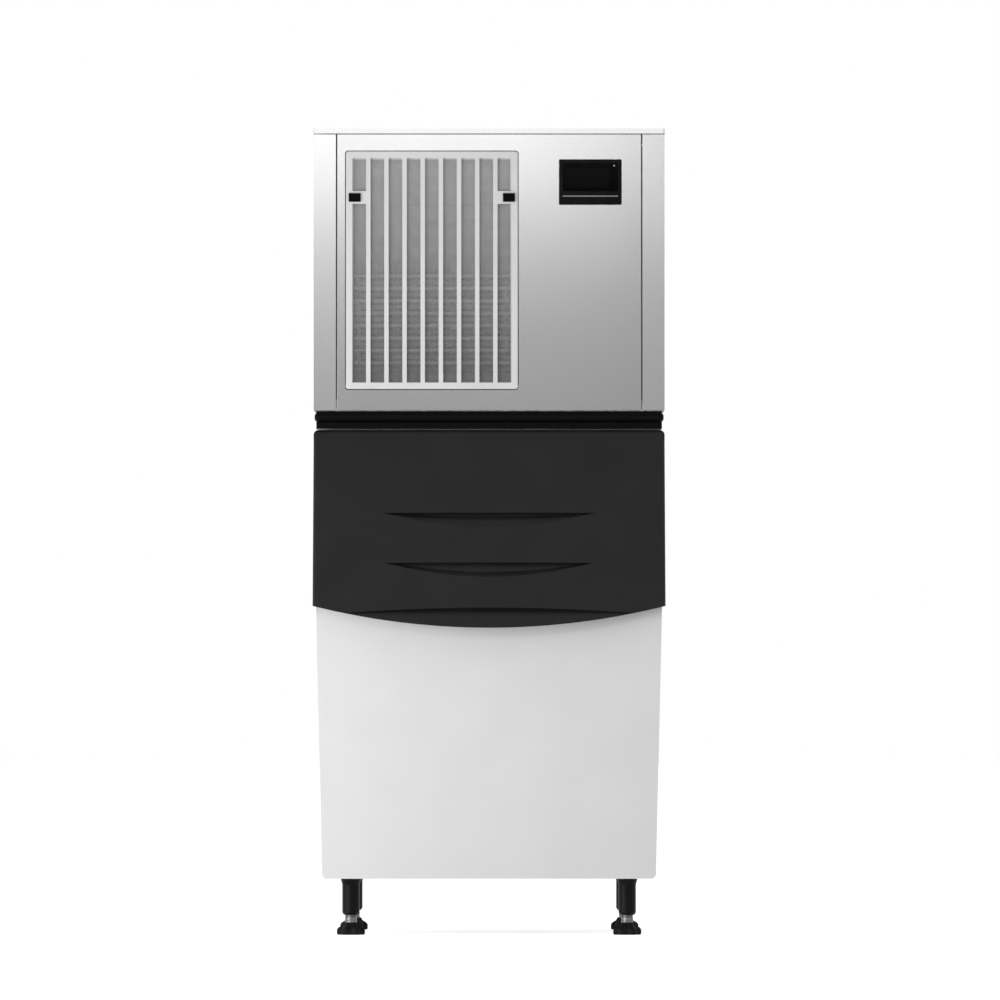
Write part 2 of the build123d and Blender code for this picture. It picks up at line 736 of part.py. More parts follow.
def door_core(inset, hollow):
    """Part of the door's hollow in front of the liner, moved away from the bin by an inset."""
    half = BIN_HALF_WIDTH - SKIRT_GAP
    long = door_length()
    corners = [(8, -ROLL_RADIUS + inset), (long, -ROLL_RADIUS + inset), (long, 90), (8, 90)]
    front = slab_yz(polygon([door_point(s, n) for s, n in corners]), -half, half)
    ahead = block((-half, BIN_FRONT - 200, 0), (half, BIN_FRONT - GASKET_GAP - inset, BIN_TOP))
    above = block((-half, BIN_FRONT - 200, KNEE_Z + 5 + inset), (half, HEAD_DEPTH, BIN_TOP))
    return (hollow & front) & (ahead + above)


def door_plug(inset):
    """The liner's raised plug, which enters the throat with a gap all round."""
    middle = (THROAT_TOP + THROAT_BOTTOM) / 2
    y, z = door_point(middle, -ROLL_RADIUS + LINER_SHEET)
    plane = Plane(origin=(0, y, z), x_dir=(1, 0, 0), z_dir=(0, -OUT_Y, -OUT_Z))
    outline = RectangleRounded(
        THROAT_WIDTH - 2 * PLUG_GAP - 2 * inset,
        THROAT_BOTTOM - THROAT_TOP - 2 * PLUG_GAP - 2 * inset,
        THROAT_CORNER - PLUG_GAP - inset,
    )
    return extrude(plane * outline, PLUG_DEPTH + LINER_SHEET - inset)


def door_insides(hollow):
    """Foam core and white liner of the door."""
    foam = door_core(LINER_SHEET, hollow) + door_plug(LINER_SHEET)
    liner = (door_core(0, hollow) + door_plug(0)) - foam
    return foam, liner


def door_hinge_plates():
    """Steel plates on the bin's sides whose pins carry the door's skirts."""
    lean = math.radians(HINGE_ARM_LEAN)
    y, z = door_point(HINGE_ARM * math.sin(lean), -HINGE_ARM * math.cos(lean))
    hub = Pos(PIVOT_Y, PIVOT_Z) * Circle(PIN_RADIUS + 3)
    pad = Pos(y, z) * Circle(PIN_RADIUS + 5)
    outline = make_hull(hub.edges() + pad.edges())
    plate = slab_yz(outline, BIN_HALF_WIDTH, BIN_HALF_WIDTH + HINGE_PLATE)
    pin_end = DOOR_HALF_WIDTH - HINGE_SIDE_GAP
    pin = pipe((BIN_HALF_WIDTH, PIVOT_Y, PIVOT_Z), (pin_end, PIVOT_Y, PIVOT_Z), PIN_RADIUS)
    right = plate + pin
    return [mirrored(right), right]


# Head cabinet


def head_base():
    """Folded pan with upturned flanges and a collared opening that drops the ice into the bin."""
    half = HEAD_WIDTH / 2 - SHEET - SEAT_GAP
    back = HEAD_DEPTH - 2 * SHEET - SEAT_GAP
    top = HEAD_BOTTOM + BASE_FLANGE
    pan = block((-half, BASE_SETBACK, HEAD_BOTTOM), (half, back, top))
    pan -= block(
        (-half + BASE_SHEET, BASE_SETBACK + BASE_SHEET, BASE_TOP),
        (half - BASE_SHEET, back - BASE_SHEET, top + 1),
    )
    low, high = drop_opening()
    collar = rounded_box((*low, HEAD_BOTTOM), (*high, BASE_TOP + DROP_COLLAR), DROP_CORNER)
    hole = rounded_box(
        (low[0] + BASE_SHEET, low[1] + BASE_SHEET, HEAD_BOTTOM - 1),
        (high[0] - BASE_SHEET, high[1] - BASE_SHEET, BASE_TOP + DROP_COLLAR + 1),
        DROP_CORNER - BASE_SHEET,
    )
    return pan + collar - hole


def drop_opening():
    """Lower and upper corner, in X and Y, of the opening that the ice falls through."""
    left = EVAPORATOR_X - EVAPORATOR_WIDTH / 2 - EVAPORATOR_BORDER
    right = EVAPORATOR_X + EVAPORATOR_WIDTH / 2 + EVAPORATOR_BORDER
    return (left, DROP_FRONT), (right, DROP_FRONT + DROP_DEPTH)


def head_frame_posts():
    """Four corner angles between the pan and the lid."""
    x = HEAD_WIDTH / 2 - SHEET - SEAT_GAP - BASE_SHEET - SEAT_GAP
    front = BASE_SETBACK + BASE_SHEET + SEAT_GAP
    back = HEAD_DEPTH - 2 * SHEET - SEAT_GAP - BASE_SHEET - SEAT_GAP
    high = HEAD_TOP - SHEET
    posts = []
    for y, toward in ((front, 1), (back, -1)):
        corners = [(x, y), (x, y + toward * POST_WIDTH), (x - BASE_SHEET, y + toward * POST_WIDTH)]
        corners += [(x - BASE_SHEET, y + toward * BASE_SHEET), (x - POST_WIDTH, y + toward * BASE_SHEET)]
        corners += [(x - POST_WIDTH, y)]
        right = slab_xy(polygon(corners), BASE_TOP, high)
        posts += [mirrored(right), right]
    return posts


def head_side_panel():
    """Right side sheet, folded round to the front strip and to a narrow rear return."""
    x = HEAD_WIDTH / 2
    strip = x - STRIP_WIDTH
    outer = Polyline(
        (strip, PANEL_RETURN),
        (strip, 0),
        (x, 0),
        (x, HEAD_DEPTH),
        (x - REAR_RETURN, HEAD_DEPTH),
    )
    sheet = offset(outer, SHEET, side=Side.LEFT, closed=True, kind=Kind.INTERSECTION)
    return slab_xy(make_face(sheet.edges()), HEAD_BOTTOM + PANEL_GAP, PANEL_TOP)


def louvre_places():
    """X and height of the middle of each louvre, in two columns behind the refrigeration side."""
    rows = int((HEAD_HEIGHT - 2 * LOUVRE_MARGIN) / LOUVRE_PITCH)
    middle = (HEAD_BOTTOM + HEAD_TOP) / 2 + LOUVRE_RISE
    low = middle - (rows - 1) * LOUVRE_PITCH / 2
    columns = (FILTER_CENTRE_X - LOUVRE_COLUMNS / 2, FILTER_CENTRE_X + LOUVRE_COLUMNS / 2)
    return [(x, low + row * LOUVRE_PITCH) for x in columns for row in range(rows)]


def louvre(x, z, inset):
    """Hood over a louvre's opening, closed above and at its ends and open below; inset gives its hollow."""
    back = HEAD_DEPTH - SHEET
    half = LOUVRE_WIDTH / 2 + SHEET - inset
    low = z - LOUVRE_HEIGHT / 2
    top = z + LOUVRE_HEIGHT / 2 + 2 * (SHEET - inset)
    reach = LOUVRE_REACH - 1.5 * inset
    if inset:
        side = [(back - 2 * SHEET, top), (back - 2 * SHEET, low), (back, low), (back, low - 1)]
        side += [(back + reach, low - 1), (back + reach, low), (back, top)]
    else:
        side = [(back, low), (back + reach, low), (back, top)]
    return slab_yz(polygon(side), x - half, x + half)


def head_back_panel():
    """Back sheet with two columns of hooded louvres and the holes of the fittings."""
    half = HEAD_WIDTH / 2 - SHEET - SEAT_GAP
    front = HEAD_DEPTH - 2 * SHEET
    sheet = block((-half, front, HEAD_BOTTOM + PANEL_GAP), (half, front + SHEET, PANEL_TOP))
    for x, z in louvre_places():
        sheet += louvre(x, z, 0)
    for x, z in louvre_places():
        sheet -= louvre(x, z, SHEET)
    for x, z, radius in rear_holes():
        sheet -= pipe((x, front - 1, z), (x, front + SHEET + 1, z), radius + SEAT_GAP)
    return sheet


def rear_holes():
    """X, height and radius of what passes through the back sheet: inlet, drain and cable gland."""
    return [
        (EVAPORATOR_X + INLET_SIDE, HEAD_BOTTOM + FITTING_RISE, INLET_RADIUS),
        (EVAPORATOR_X + DRAIN_SIDE, HEAD_BOTTOM + DRAIN_RISE, DRAIN_BODY),
        (-HEAD_WIDTH / 2 + GLAND_INSET, HEAD_BOTTOM + FITTING_RISE, GLAND_RADIUS),
    ]


def head_top_panel():
    """Lid with edges turned down all round."""
    half = HEAD_WIDTH / 2 + LID_OVERHANG
    low = (-half, -LID_OVERHANG, LID_BOTTOM)
    high = (half, HEAD_DEPTH + LID_OVERHANG, HEAD_TOP)
    lid = rounded_box(low, high, 4)
    inner_low = (low[0] + SHEET, low[1] + SHEET, LID_BOTTOM - 1)
    inner_high = (high[0] - SHEET, high[1] - SHEET, HEAD_TOP - SHEET)
    return lid - rounded_box(inner_low, inner_high, 4 - SHEET)


def filter_window(grow):
    """Rounded front-view outline of the filter, grown all round."""
    middle = HEAD_BOTTOM + FILTER_BOTTOM + FILTER_HEIGHT / 2
    corner = FILTER_CORNER + max(grow, 1 - FILTER_CORNER)
    outline = RectangleRounded(FILTER_WIDTH + 2 * grow, FILTER_HEIGHT + 2 * grow, corner)
    return Pos(FILTER_CENTRE_X, middle) * outline


def display_window(grow):
    """Rounded front-view outline of the display, grown all round."""
    middle = HEAD_TOP - DISPLAY_BELOW_TOP
    corner = max(DISPLAY_CORNER + grow, 0.8)
    outline = RectangleRounded(DISPLAY_WIDTH + 2 * grow, DISPLAY_HEIGHT + 2 * grow, corner)
    return Pos(DISPLAY_X, middle) * outline


def head_front_panel():
    """Front sheet with returned edges, the filter opening and the display cut-out."""
    half = HEAD_WIDTH / 2 - STRIP_WIDTH - PANEL_GAP
    low = (-half, 0, HEAD_BOTTOM + PANEL_GAP)
    high = (half, SHEET + PANEL_RETURN, PANEL_TOP)
    panel = block(low, high)
    panel = fillet(panel.edges().filter_by(Axis.Z).sort_by(Axis.Y)[:2], 1.5)
    panel -= block(
        (-half + SHEET, SHEET, low[2] + SHEET), (half - SHEET, SHEET + PANEL_RETURN + 1, high[2] - SHEET)
    )
    panel -= slab_xz(filter_window(PANEL_GAP), -1, SHEET + 1)
    return panel - slab_xz(display_window(-DISPLAY_LAP), -1, SHEET + 1)


def panel_screws():
    """Screws that hold the back sheet to the rear returns."""
    screws = []
    x = HEAD_WIDTH / 2 - REAR_RETURN / 2
    back = HEAD_DEPTH
    for z in (HEAD_BOTTOM + SCREW_MARGIN, (HEAD_BOTTOM + HEAD_TOP) / 2, PANEL_TOP - SCREW_MARGIN):
        for side in (-x, x):
            head = pipe((side, back, z), (side, back + SCREW_HEIGHT, z), SCREW_RADIUS)
            head = fillet(head.edges().sort_by(Axis.Y)[-1], SCREW_HEIGHT / 2)
            screws.append(head)
    return screws


def compartment_wall():
    """Upright sheet between the refrigeration side and the ice side, with a hole for the pipes."""
    front = BASE_SETBACK + BASE_SHEET + SEAT_GAP
    back = HEAD_DEPTH - 2 * SHEET - SEAT_GAP - BASE_SHEET - SEAT_GAP
    wall = block((WALL_X, front, BASE_TOP), (WALL_X + WALL_SHEET, back, HEAD_TOP - SHEET - SEAT_GAP))
    foot_flange = block((WALL_X - WALL_FLANGE, front, BASE_TOP), (WALL_X, back, BASE_TOP + WALL_SHEET))
    for y, z in (SUCTION_AT, LIQUID_AT):
        wall -= pipe((WALL_X - 1, y, z), (WALL_X + WALL_SHEET + 1, y, z), TUBE_RADIUS + SEAT_GAP)
    return wall + foot_flange


# Air filter


def filter_pivot():
    """Y and Z of the line that the filter tilts on."""
    return FILTER_PROUD * 3, HEAD_BOTTOM + FILTER_BOTTOM + 6


def filter_frame():
    """Moulded frame: a rail all round, upright bars, two latch plates and bores for the tilting pins."""
    front = -FILTER_PROUD
    back = FILTER_DEPTH - FILTER_PROUD
    frame = slab_xz(filter_window(0) - filter_window(-FILTER_RAIL), front, back)
    inner = FILTER_WIDTH - 2 * FILTER_RAIL
    low = HEAD_BOTTOM + FILTER_BOTTOM + FILTER_RAIL
    high = low + FILTER_HEIGHT - 2 * FILTER_RAIL
    pitch = (inner + FILTER_BAR_WIDTH) / (FILTER_BARS + 1)
    for number in range(FILTER_BARS):
        x = FILTER_CENTRE_X - inner / 2 + (number + 1) * pitch - FILTER_BAR_WIDTH
        frame += block((x, front, low - 2), (x + FILTER_BAR_WIDTH, front + FILTER_BAR_DEPTH, high + 2))
    z = latch_height()
    for side in (-1, 1):
        outer = FILTER_CENTRE_X + side * FILTER_WIDTH / 2
        inner_x = outer - side * LATCH_PLATE_WIDTH
        left, right = sorted((outer - side * 3, inner_x))
        half = LATCH_PLATE_HEIGHT / 2
        frame += block((left, front, z - half), (right, front + LATCH_PLATE, z + half))
        slot = LATCH_STEM_INSET - 0.5
        slot_ends = sorted((outer - side * slot, outer - side * (slot + LATCH_STEM + LATCH_TRAVEL + 1)))
        half = LATCH_STEM / 2 + SEAT_GAP
        frame -= block((slot_ends[0], front - 1, z - half), (slot_ends[1], back, z + half))
        tongue_ends = sorted((outer + side, outer - side * FILTER_RAIL - side))
        behind = front + LATCH_PLATE
        half = LATCH_TONGUE / 2 + SEAT_GAP
        frame -= block((tongue_ends[0], behind, z - half), (tongue_ends[1], behind + LATCH_STEM, z + half))
    y, z = filter_pivot()
    for side in (-1, 1):
        outer = FILTER_CENTRE_X + side * (FILTER_WIDTH / 2 + 1)
        frame -= pipe((outer, y, z), (outer - side * 12, y, z), FILTER_PIN_RADIUS + RUNNING_FIT)
    return frame


def latch_height():
    """Height of the two latches."""
    return HEAD_BOTTOM + FILTER_BOTTOM + FILTER_HEIGHT - LATCH_BELOW_TOP


def filter_latch(side):
    """Sliding latch: a knob in front of the plate, a stem through its slot and a tongue behind it."""
    outer = FILTER_CENTRE_X + side * FILTER_WIDTH / 2
    z = latch_height()
    front = -FILTER_PROUD
    knob_ends = sorted((outer - side * LATCH_KNOB_INSET, outer - side * (LATCH_KNOB_INSET + LATCH_WIDTH)))
    knob = block(
        (knob_ends[0], front - SEAT_GAP - LATCH_KNOB, z - LATCH_HEIGHT / 2),
        (knob_ends[1], front - SEAT_GAP, z + LATCH_HEIGHT / 2),
    )
    knob = fillet(knob.faces().sort_by(Axis.Y)[0].edges(), 1.2)
    middle = (knob_ends[0] + knob_ends[1]) / 2
    half = LATCH_HEIGHT / 3
    for number in (-1, 0, 1):
        left = middle + number * LATCH_GROOVE_STEP - LATCH_GROOVE / 2
        face = front - LATCH_KNOB
        knob -= block((left, face - 1, z - half), (left + LATCH_GROOVE, face + LATCH_GROOVE / 4, z + half))
    stem_ends = sorted((outer - side * LATCH_STEM_INSET, outer - side * (LATCH_STEM_INSET + LATCH_STEM)))
    behind = front + LATCH_PLATE + SEAT_GAP
    stem = block(
        (stem_ends[0], front - SEAT_GAP - 1, z - LATCH_STEM / 2),
        (stem_ends[1], behind + 1, z + LATCH_STEM / 2),
    )
    tongue_ends = sorted((outer - side * 0.5, outer - side * (LATCH_STEM_INSET + LATCH_STEM)))
    tongue = block(
        (tongue_ends[0], behind, z - LATCH_TONGUE / 2),
        (tongue_ends[1], behind + LATCH_STEM - 2 * SEAT_GAP, z + LATCH_TONGUE / 2),
    )
    return knob + stem + tongue


def filter_mesh():
    """Net behind the bars: level strands in a flat hem, with a hemmed notch beside each latch."""
    outline = FILTER_WIDTH - 2 * FILTER_RAIL
    tall = FILTER_HEIGHT - 2 * FILTER_RAIL
    middle = HEAD_BOTTOM + FILTER_BOTTOM + FILTER_HEIGHT / 2
    net = Rectangle(outline, tall) - Rectangle(outline - 2 * NET_HEM, tall - 2 * NET_HEM)
    count = int(tall / NET_PITCH) - 1
    for place in GridLocations(0, NET_PITCH, 1, count):
        net += place * Rectangle(outline, NET_STRAND)
    notch_x = outline / 2
    notch = 2 * (LATCH_PLATE_WIDTH - FILTER_RAIL)
    for side in (-1, 1):
        place = Pos(side * notch_x, latch_height() - middle)
        hem = Rectangle(notch + 2 * NET_HEM, LATCH_TONGUE + 10 + 2 * NET_HEM)
        net += (place * hem) & Rectangle(outline, tall)
        net -= place * Rectangle(notch, LATCH_TONGUE + 10)
    front = -FILTER_PROUD + FILTER_BAR_DEPTH
    return slab_xz(Pos(FILTER_CENTRE_X, middle) * net, front, front + NET_STRAND)


def filter_hinge_clips():
    """Two clips on the back of the front sheet, each with a pin for the filter's lower corner."""
    y, z = filter_pivot()
    clips = []
    for side in (-1, 1):
        edge = FILTER_CENTRE_X + side * (FILTER_WIDTH / 2 + PANEL_GAP)
        ends = sorted((edge, edge + side * 8))
        clip = block((ends[0], SHEET, z - 6), (ends[1], SHEET + 9, z + 8))
        pin = pipe((edge + side, y, z), (edge - side * 9, y, z), FILTER_PIN_RADIUS)
        clips.append(clip + (pin & block((-HEAD_WIDTH, SHEET, 0), (HEAD_WIDTH, SHEET + 9, HEAD_TOP))))
    return clips


# Display


def control_bezel():
    """Black surround with a wide screen opening, a narrow slot below it and a box behind the sheet."""
    middle = HEAD_TOP - DISPLAY_BELOW_TOP
    flange = slab_xz(display_window(0), -DISPLAY_PROUD, 0)
    flange = fillet(flange.faces().sort_by(Axis.Y)[0].edges(), 0.8)
    body = slab_xz(display_window(-DISPLAY_LAP - SEAT_GAP), 0, PANEL_RETURN)
    bezel = flange + body
    bezel -= slab_xz(screen_outline(0), -DISPLAY_PROUD - 1, 2)
    bezel -= slab_xz(screen_outline(-4), 0, PANEL_RETURN - 2)
    rule = RectangleRounded(DISPLAY_WIDTH - 2 * SCREEN_MARGIN + 1, RULE_HEIGHT, RULE_HEIGHT / 3)
    rule = Pos(DISPLAY_X, middle - DISPLAY_HEIGHT / 2 + RULE_RISE) * rule
    return bezel - slab_xz(rule, -DISPLAY_PROUD - 1, -DISPLAY_PROUD + 0.8)


def screen_outline(grow):
    """Front-view outline of the screen above the slot, grown all round."""
    middle = HEAD_TOP - DISPLAY_BELOW_TOP + SCREEN_RISE
    width = DISPLAY_WIDTH - 2 * SCREEN_MARGIN + 2 * grow
    return Pos(DISPLAY_X, middle) * RectangleRounded(width, SCREEN_HEIGHT + 2 * grow, 5 + grow)


def control_window():
    """Dark glass set into the surround."""
    return slab_xz(screen_outline(-SEAT_GAP), -DISPLAY_PROUD + 0.6, 2)


def control_box():
    """Closed box of the electronics behind the display."""
    middle = HEAD_TOP - DISPLAY_BELOW_TOP
    grow = 2 * CONTROL_MARGIN
    outline = RectangleRounded(DISPLAY_WIDTH + grow, DISPLAY_HEIGHT + grow, CONTROL_MARGIN - 1)
    front = PANEL_RETURN + SEAT_GAP
    box = slab_xz(Pos(DISPLAY_X, middle) * outline, front, front + CONTROL_DEPTH)
    return fillet(box.faces().sort_by(Axis.Y)[-1].edges(), 4)


# Refrigeration


def coil_frame():
    """Left and right X, bottom and top of the condenser's fin pack."""
    left = FILTER_CENTRE_X - COIL_WIDTH / 2
    low = HEAD_BOTTOM + COIL_BOTTOM
    return left, left + COIL_WIDTH, low, low + COIL_HEIGHT


def condenser():
    """Fin pack with open fins at the front and back, end plates that stand on the pan, and return bends."""
    left, right, low, high = coil_frame()
    front = COIL_SETBACK
    back = front + COIL_DEPTH
    pack = block((left, front + FIN_SLOT, low), (right, back - FIN_SLOT, high))
    count = int(COIL_WIDTH / FIN_PITCH)
    fins = Sketch()
    for number in range(count + 1):
        x = left + number * (COIL_WIDTH - FIN_THICKNESS) / count
        fins += Pos(x + FIN_THICKNESS / 2, (front + back) / 2) * Rectangle(FIN_THICKNESS, COIL_DEPTH)
    pack += slab_xy(fins, low, high)
    pieces = [pack]
    bends = int((COIL_HEIGHT - 2 * TUBE_RADIUS) / BEND_PITCH)
    for x, toward in ((left, -1), (right, 1)):
        ends = sorted((x, x + toward * END_PLATE))
        lap = COIL_PLATE_LAP
        pieces.append(block((ends[0], front - lap, BASE_TOP), (ends[1], back + lap, high + 1.5 * lap)))
        outer = x + toward * END_PLATE
        for number in range(bends):
            z = low + BEND_START + number * BEND_PITCH + (BEND_PITCH / 2 if toward > 0 else 0)
            if z + BEND_PITCH / 2 > high - TUBE_RADIUS:
                continue
            y = (front + back) / 2
            radius = BEND_PITCH / 4
            middle = (outer + toward * radius, y, z + radius)
            arc = ThreePointArc((outer, y, z), middle, (outer, y, z + 2 * radius))
            plane = Plane(origin=(outer, y, z), z_dir=(toward, 0, 0))
            pieces.append(sweep(plane * Circle(TUBE_RADIUS), arc))
    return pieces


def fan_centre():
    """X and Z of the fan's axis, behind the middle of the condenser."""
    left, right, low, high = coil_frame()
    return (left + right) / 2, (low + high) / 2


def fan_front():
    """Y of the shroud's front face, against the condenser's end plates."""
    return COIL_SETBACK + COIL_DEPTH + COIL_PLATE_LAP


def fan_shroud():
    """Sheet that closes the air path behind the condenser, with a rounded ring and holes for the pipes."""
    x, z = fan_centre()
    front = fan_front()
    left = -HEAD_WIDTH / 2 + SHEET + SEAT_GAP + BASE_SHEET + SEAT_GAP
    top = HEAD_TOP - SHEET - SEAT_GAP
    sheet = block((left, front, BASE_TOP), (WALL_X - SEAT_GAP, front + WALL_SHEET, top))
    flange_room = WALL_X - WALL_FLANGE - 2
    flange_top = BASE_TOP + WALL_SHEET + SEAT_GAP
    sheet -= block((flange_room, front - 1, BASE_TOP - 1), (WALL_X, front + 3, flange_top))
    for hole_x, hole_z in (discharge_crossing(), liquid_crossing()):
        sheet -= pipe((hole_x, front - 1, hole_z), (hole_x, front + 3, hole_z), TUBE_RADIUS + SEAT_GAP)
    opening = FAN_RADIUS + FAN_TIP_GAP
    ring = pipe((x, front, z), (x, front + SHROUD_RING, z), opening + 2)
    ring = fillet(ring.edges().sort_by(Axis.Y)[-1], 1)
    return sheet + ring - pipe((x, front - 1, z), (x, front + SHROUD_RING + 1, z), opening)


def fan_blades():
    """Hub with twisted blades, each lofted from a steep root to a flatter tip."""
    hub = Cylinder(FAN_HUB_RADIUS, FAN_DEPTH)
    hub = fillet(hub.edges().sort_by(Axis.Z)[-1], FAN_DEPTH / 4)
    sections = []
    root, middle, tip = FAN_HUB_RADIUS - 4, 0.65 * FAN_RADIUS, FAN_RADIUS - 1
    for reach, angle, chord in ((root, 48, 34), (middle, 34, 50), (tip, 24, 58)):
        plane = Plane(origin=(reach, 0, 0), x_dir=(0, 1, 0), z_dir=(1, 0, 0))
        sections.append(plane * Rot(0, 0, angle) * RectangleRounded(chord, FAN_BLADE_THICKNESS, 1.2))
    blade = loft(sections) & Cylinder(FAN_RADIUS, 80)
    rotor = hub
    for place in PolarLocations(0, FAN_BLADES):
        rotor += place * blade
    rotor -= Pos(0, 0, -FAN_DEPTH / 2) * Cylinder(SHAFT_RADIUS + RUNNING_FIT, 40)
    x, z = fan_centre()
    return Pos(x, fan_front() + FAN_SETBACK, z) * Rot(90, 0, 0) * rotor


def motor_front():
    """Y of the fan motor's front end, behind the hub."""
    return fan_front() + FAN_SETBACK + FAN_DEPTH / 2 + MOTOR_GAP


def fan_motor():
    """Fan motor with a ribbed case and its shaft, which the hub turns on."""
    x, z = fan_centre()
    front = motor_front()
    case = pipe((x, front, z), (x, front + MOTOR_LENGTH, z), MOTOR_RADIUS)
    case = fillet(case.edges(), MOTOR_GAP)
    for number in range(3):
        y = front + MOTOR_LENGTH * (0.27 + 0.2 * number)
        end = (x, y + MOTOR_LENGTH / 15, z)
        case -= pipe((x, y, z), end, MOTOR_RADIUS + 1, MOTOR_RADIUS - MOTOR_GROOVE)
    return case + pipe((x, front - FAN_DEPTH + 2, z), (x, front + 1, z), SHAFT_RADIUS)


def fan_bracket():
    """Three bent arms from the shroud to a clamp round the motor."""
    x, z = fan_centre()
    start = fan_front() + WALL_SHEET
    back = motor_front() + MOTOR_LENGTH * 0.8
    clamp_end = back + BRACKET_ARM / 3
    bracket = pipe((x, back, z), (x, clamp_end, z), MOTOR_RADIUS + 2 * BRACKET_SHEET, MOTOR_RADIUS + SEAT_GAP)
    reach = FAN_RADIUS + FAN_TIP_GAP + BRACKET_ARM / 2
    near = MOTOR_RADIUS + BRACKET_SHEET
    corners = [(near, back), (reach, back), (reach, start), (reach - BRACKET_SHEET, start)]
    corners += [(reach - BRACKET_SHEET, back - BRACKET_SHEET), (near, back - BRACKET_SHEET)]
    arm = extrude(Plane.XY * polygon(corners), BRACKET_ARM / 2, both=True)
    for angle in (90, 210, 330):
        bracket += Pos(x, 0, z) * Rot(0, angle, 0) * arm
    return bracket


def compressor_place():
    """X and Y of the compressor's axis, in the head's left rear corner."""
    return coil_frame()[0] + COMPRESSOR_SIDE, HEAD_DEPTH - COMPRESSOR_RADIUS - COMPRESSOR_BACK_GAP


def compressor():
    """Welded can with domed ends, a seam bead and a foot plate."""
    x, y = compressor_place()
    low = BASE_TOP + GROMMET_HEIGHT
    can = Pos(x, y, low + 2) * Cylinder(
        COMPRESSOR_RADIUS, COMPRESSOR_HEIGHT, align=(Align.CENTER, Align.CENTER, Align.MIN)
    )
    can = fillet(can.edges().filter_by(GeomType.CIRCLE), COMPRESSOR_RADIUS * 0.4)
    seam = Pos(x, y, low + COMPRESSOR_HEIGHT * 0.6) * Cylinder(COMPRESSOR_RADIUS + 4, 9)
    seam = fillet(seam.edges().filter_by(GeomType.CIRCLE), 3)
    plate = Pos(x, y, low) * RectangleRounded(COMPRESSOR_PLATE, COMPRESSOR_PLATE, 24)
    plate = extrude(plate, 3)
    for place in GridLocations(COMPRESSOR_MOUNTS, COMPRESSOR_MOUNTS, 2, 2):
        plate -= Pos(x, y, low) * place * Cylinder(GROMMET_NECK + SEAT_GAP, 20)
    return can + seam + plate


def compressor_grommets():
    """Rubber mounts under the corners of the compressor's foot plate."""
    x, y = compressor_place()
    pieces = []
    upright = (Align.CENTER, Align.CENTER, Align.MIN)
    for place in GridLocations(COMPRESSOR_MOUNTS, COMPRESSOR_MOUNTS, 2, 2):
        body = Cylinder(GROMMET_RADIUS, GROMMET_HEIGHT, align=upright)
        neck = Cylinder(GROMMET_NECK, GROMMET_HEIGHT + GROMMET_NECK, align=upright)
        body = fillet(body.edges().filter_by(GeomType.CIRCLE), 2)
        pieces.append(Pos(x, y, BASE_TOP) * place * (body + neck))
    return pieces


def discharge_crossing():
    """X and Z at which the discharge line passes the shroud's sheet."""
    return compressor_place()[0] + DISCHARGE_SIDE, coil_frame()[3] + DISCHARGE_RISE


def liquid_crossing():
    """X and Z at which the liquid line passes the shroud's sheet."""
    return WALL_X - WALL_FLANGE - 3, coil_frame()[2] + 12


def discharge_line():
    """Hot gas pipe from the compressor's top to the condenser."""
    y = compressor_place()[1]
    x, z = discharge_crossing()
    top = BASE_TOP + GROMMET_HEIGHT + COMPRESSOR_HEIGHT + 2
    end_y = COIL_SETBACK + COIL_DEPTH / 2
    points = [(x, y, top), (x, y, z), (x, end_y, z), (x, end_y, coil_frame()[3])]
    return bent_tube(points, 25, TUBE_RADIUS)


def liquid_line():
    """Liquid pipe from the condenser through its drier and the wall to the evaporator's coil."""
    drier_x, low_z = liquid_crossing()
    start_y = COIL_SETBACK + COIL_DEPTH / 2
    y, z = LIQUID_AT
    points = [
        (coil_frame()[1] + END_PLATE, start_y, low_z),
        (drier_x, start_y, low_z),
        (drier_x, y, low_z),
        (drier_x, y, z),
        (COIL_END_X, y, z),
        (COIL_END_X, coil_tube_y(), z),
    ]
    line = bent_tube(points, PIPE_BEND, TUBE_RADIUS)
    drier_y = start_y + DRIER_START
    drier = pipe((drier_x, drier_y, low_z), (drier_x, drier_y + DRIER_LENGTH, low_z), DRIER_RADIUS)
    return line + fillet(drier.edges().filter_by(GeomType.CIRCLE), 7)


def suction_line():
    """Return pipe from the evaporator's coil through the wall to the compressor."""
    x, y0 = compressor_place()
    y, z = SUCTION_AT
    side = x + COMPRESSOR_RADIUS + SUCTION_SIDE
    entry_z = BASE_TOP + GROMMET_HEIGHT + SUCTION_RISE
    points = [
        (COIL_END_X, coil_tube_y(), z),
        (COIL_END_X, y, z),
        (side, y, z),
        (side, y0, z),
        (side, y0, entry_z),
        (x + COMPRESSOR_RADIUS + SEAT_GAP / 3, y0, entry_z),
    ]
    return bent_tube(points, PIPE_BEND, TUBE_RADIUS)


def coil_tube_y():
    """Y of the coil's axis behind the evaporator's plate."""
    return EVAPORATOR_BACK + TUBE_RADIUS


# Ice making


def evaporator_frame_sizes():
    """Left, right, bottom and top of the evaporator's plate."""
    left = EVAPORATOR_X - EVAPORATOR_WIDTH / 2
    low = HEAD_BOTTOM + EVAPORATOR_BOTTOM
    return left, left + EVAPORATOR_WIDTH, low, low + EVAPORATOR_HEIGHT


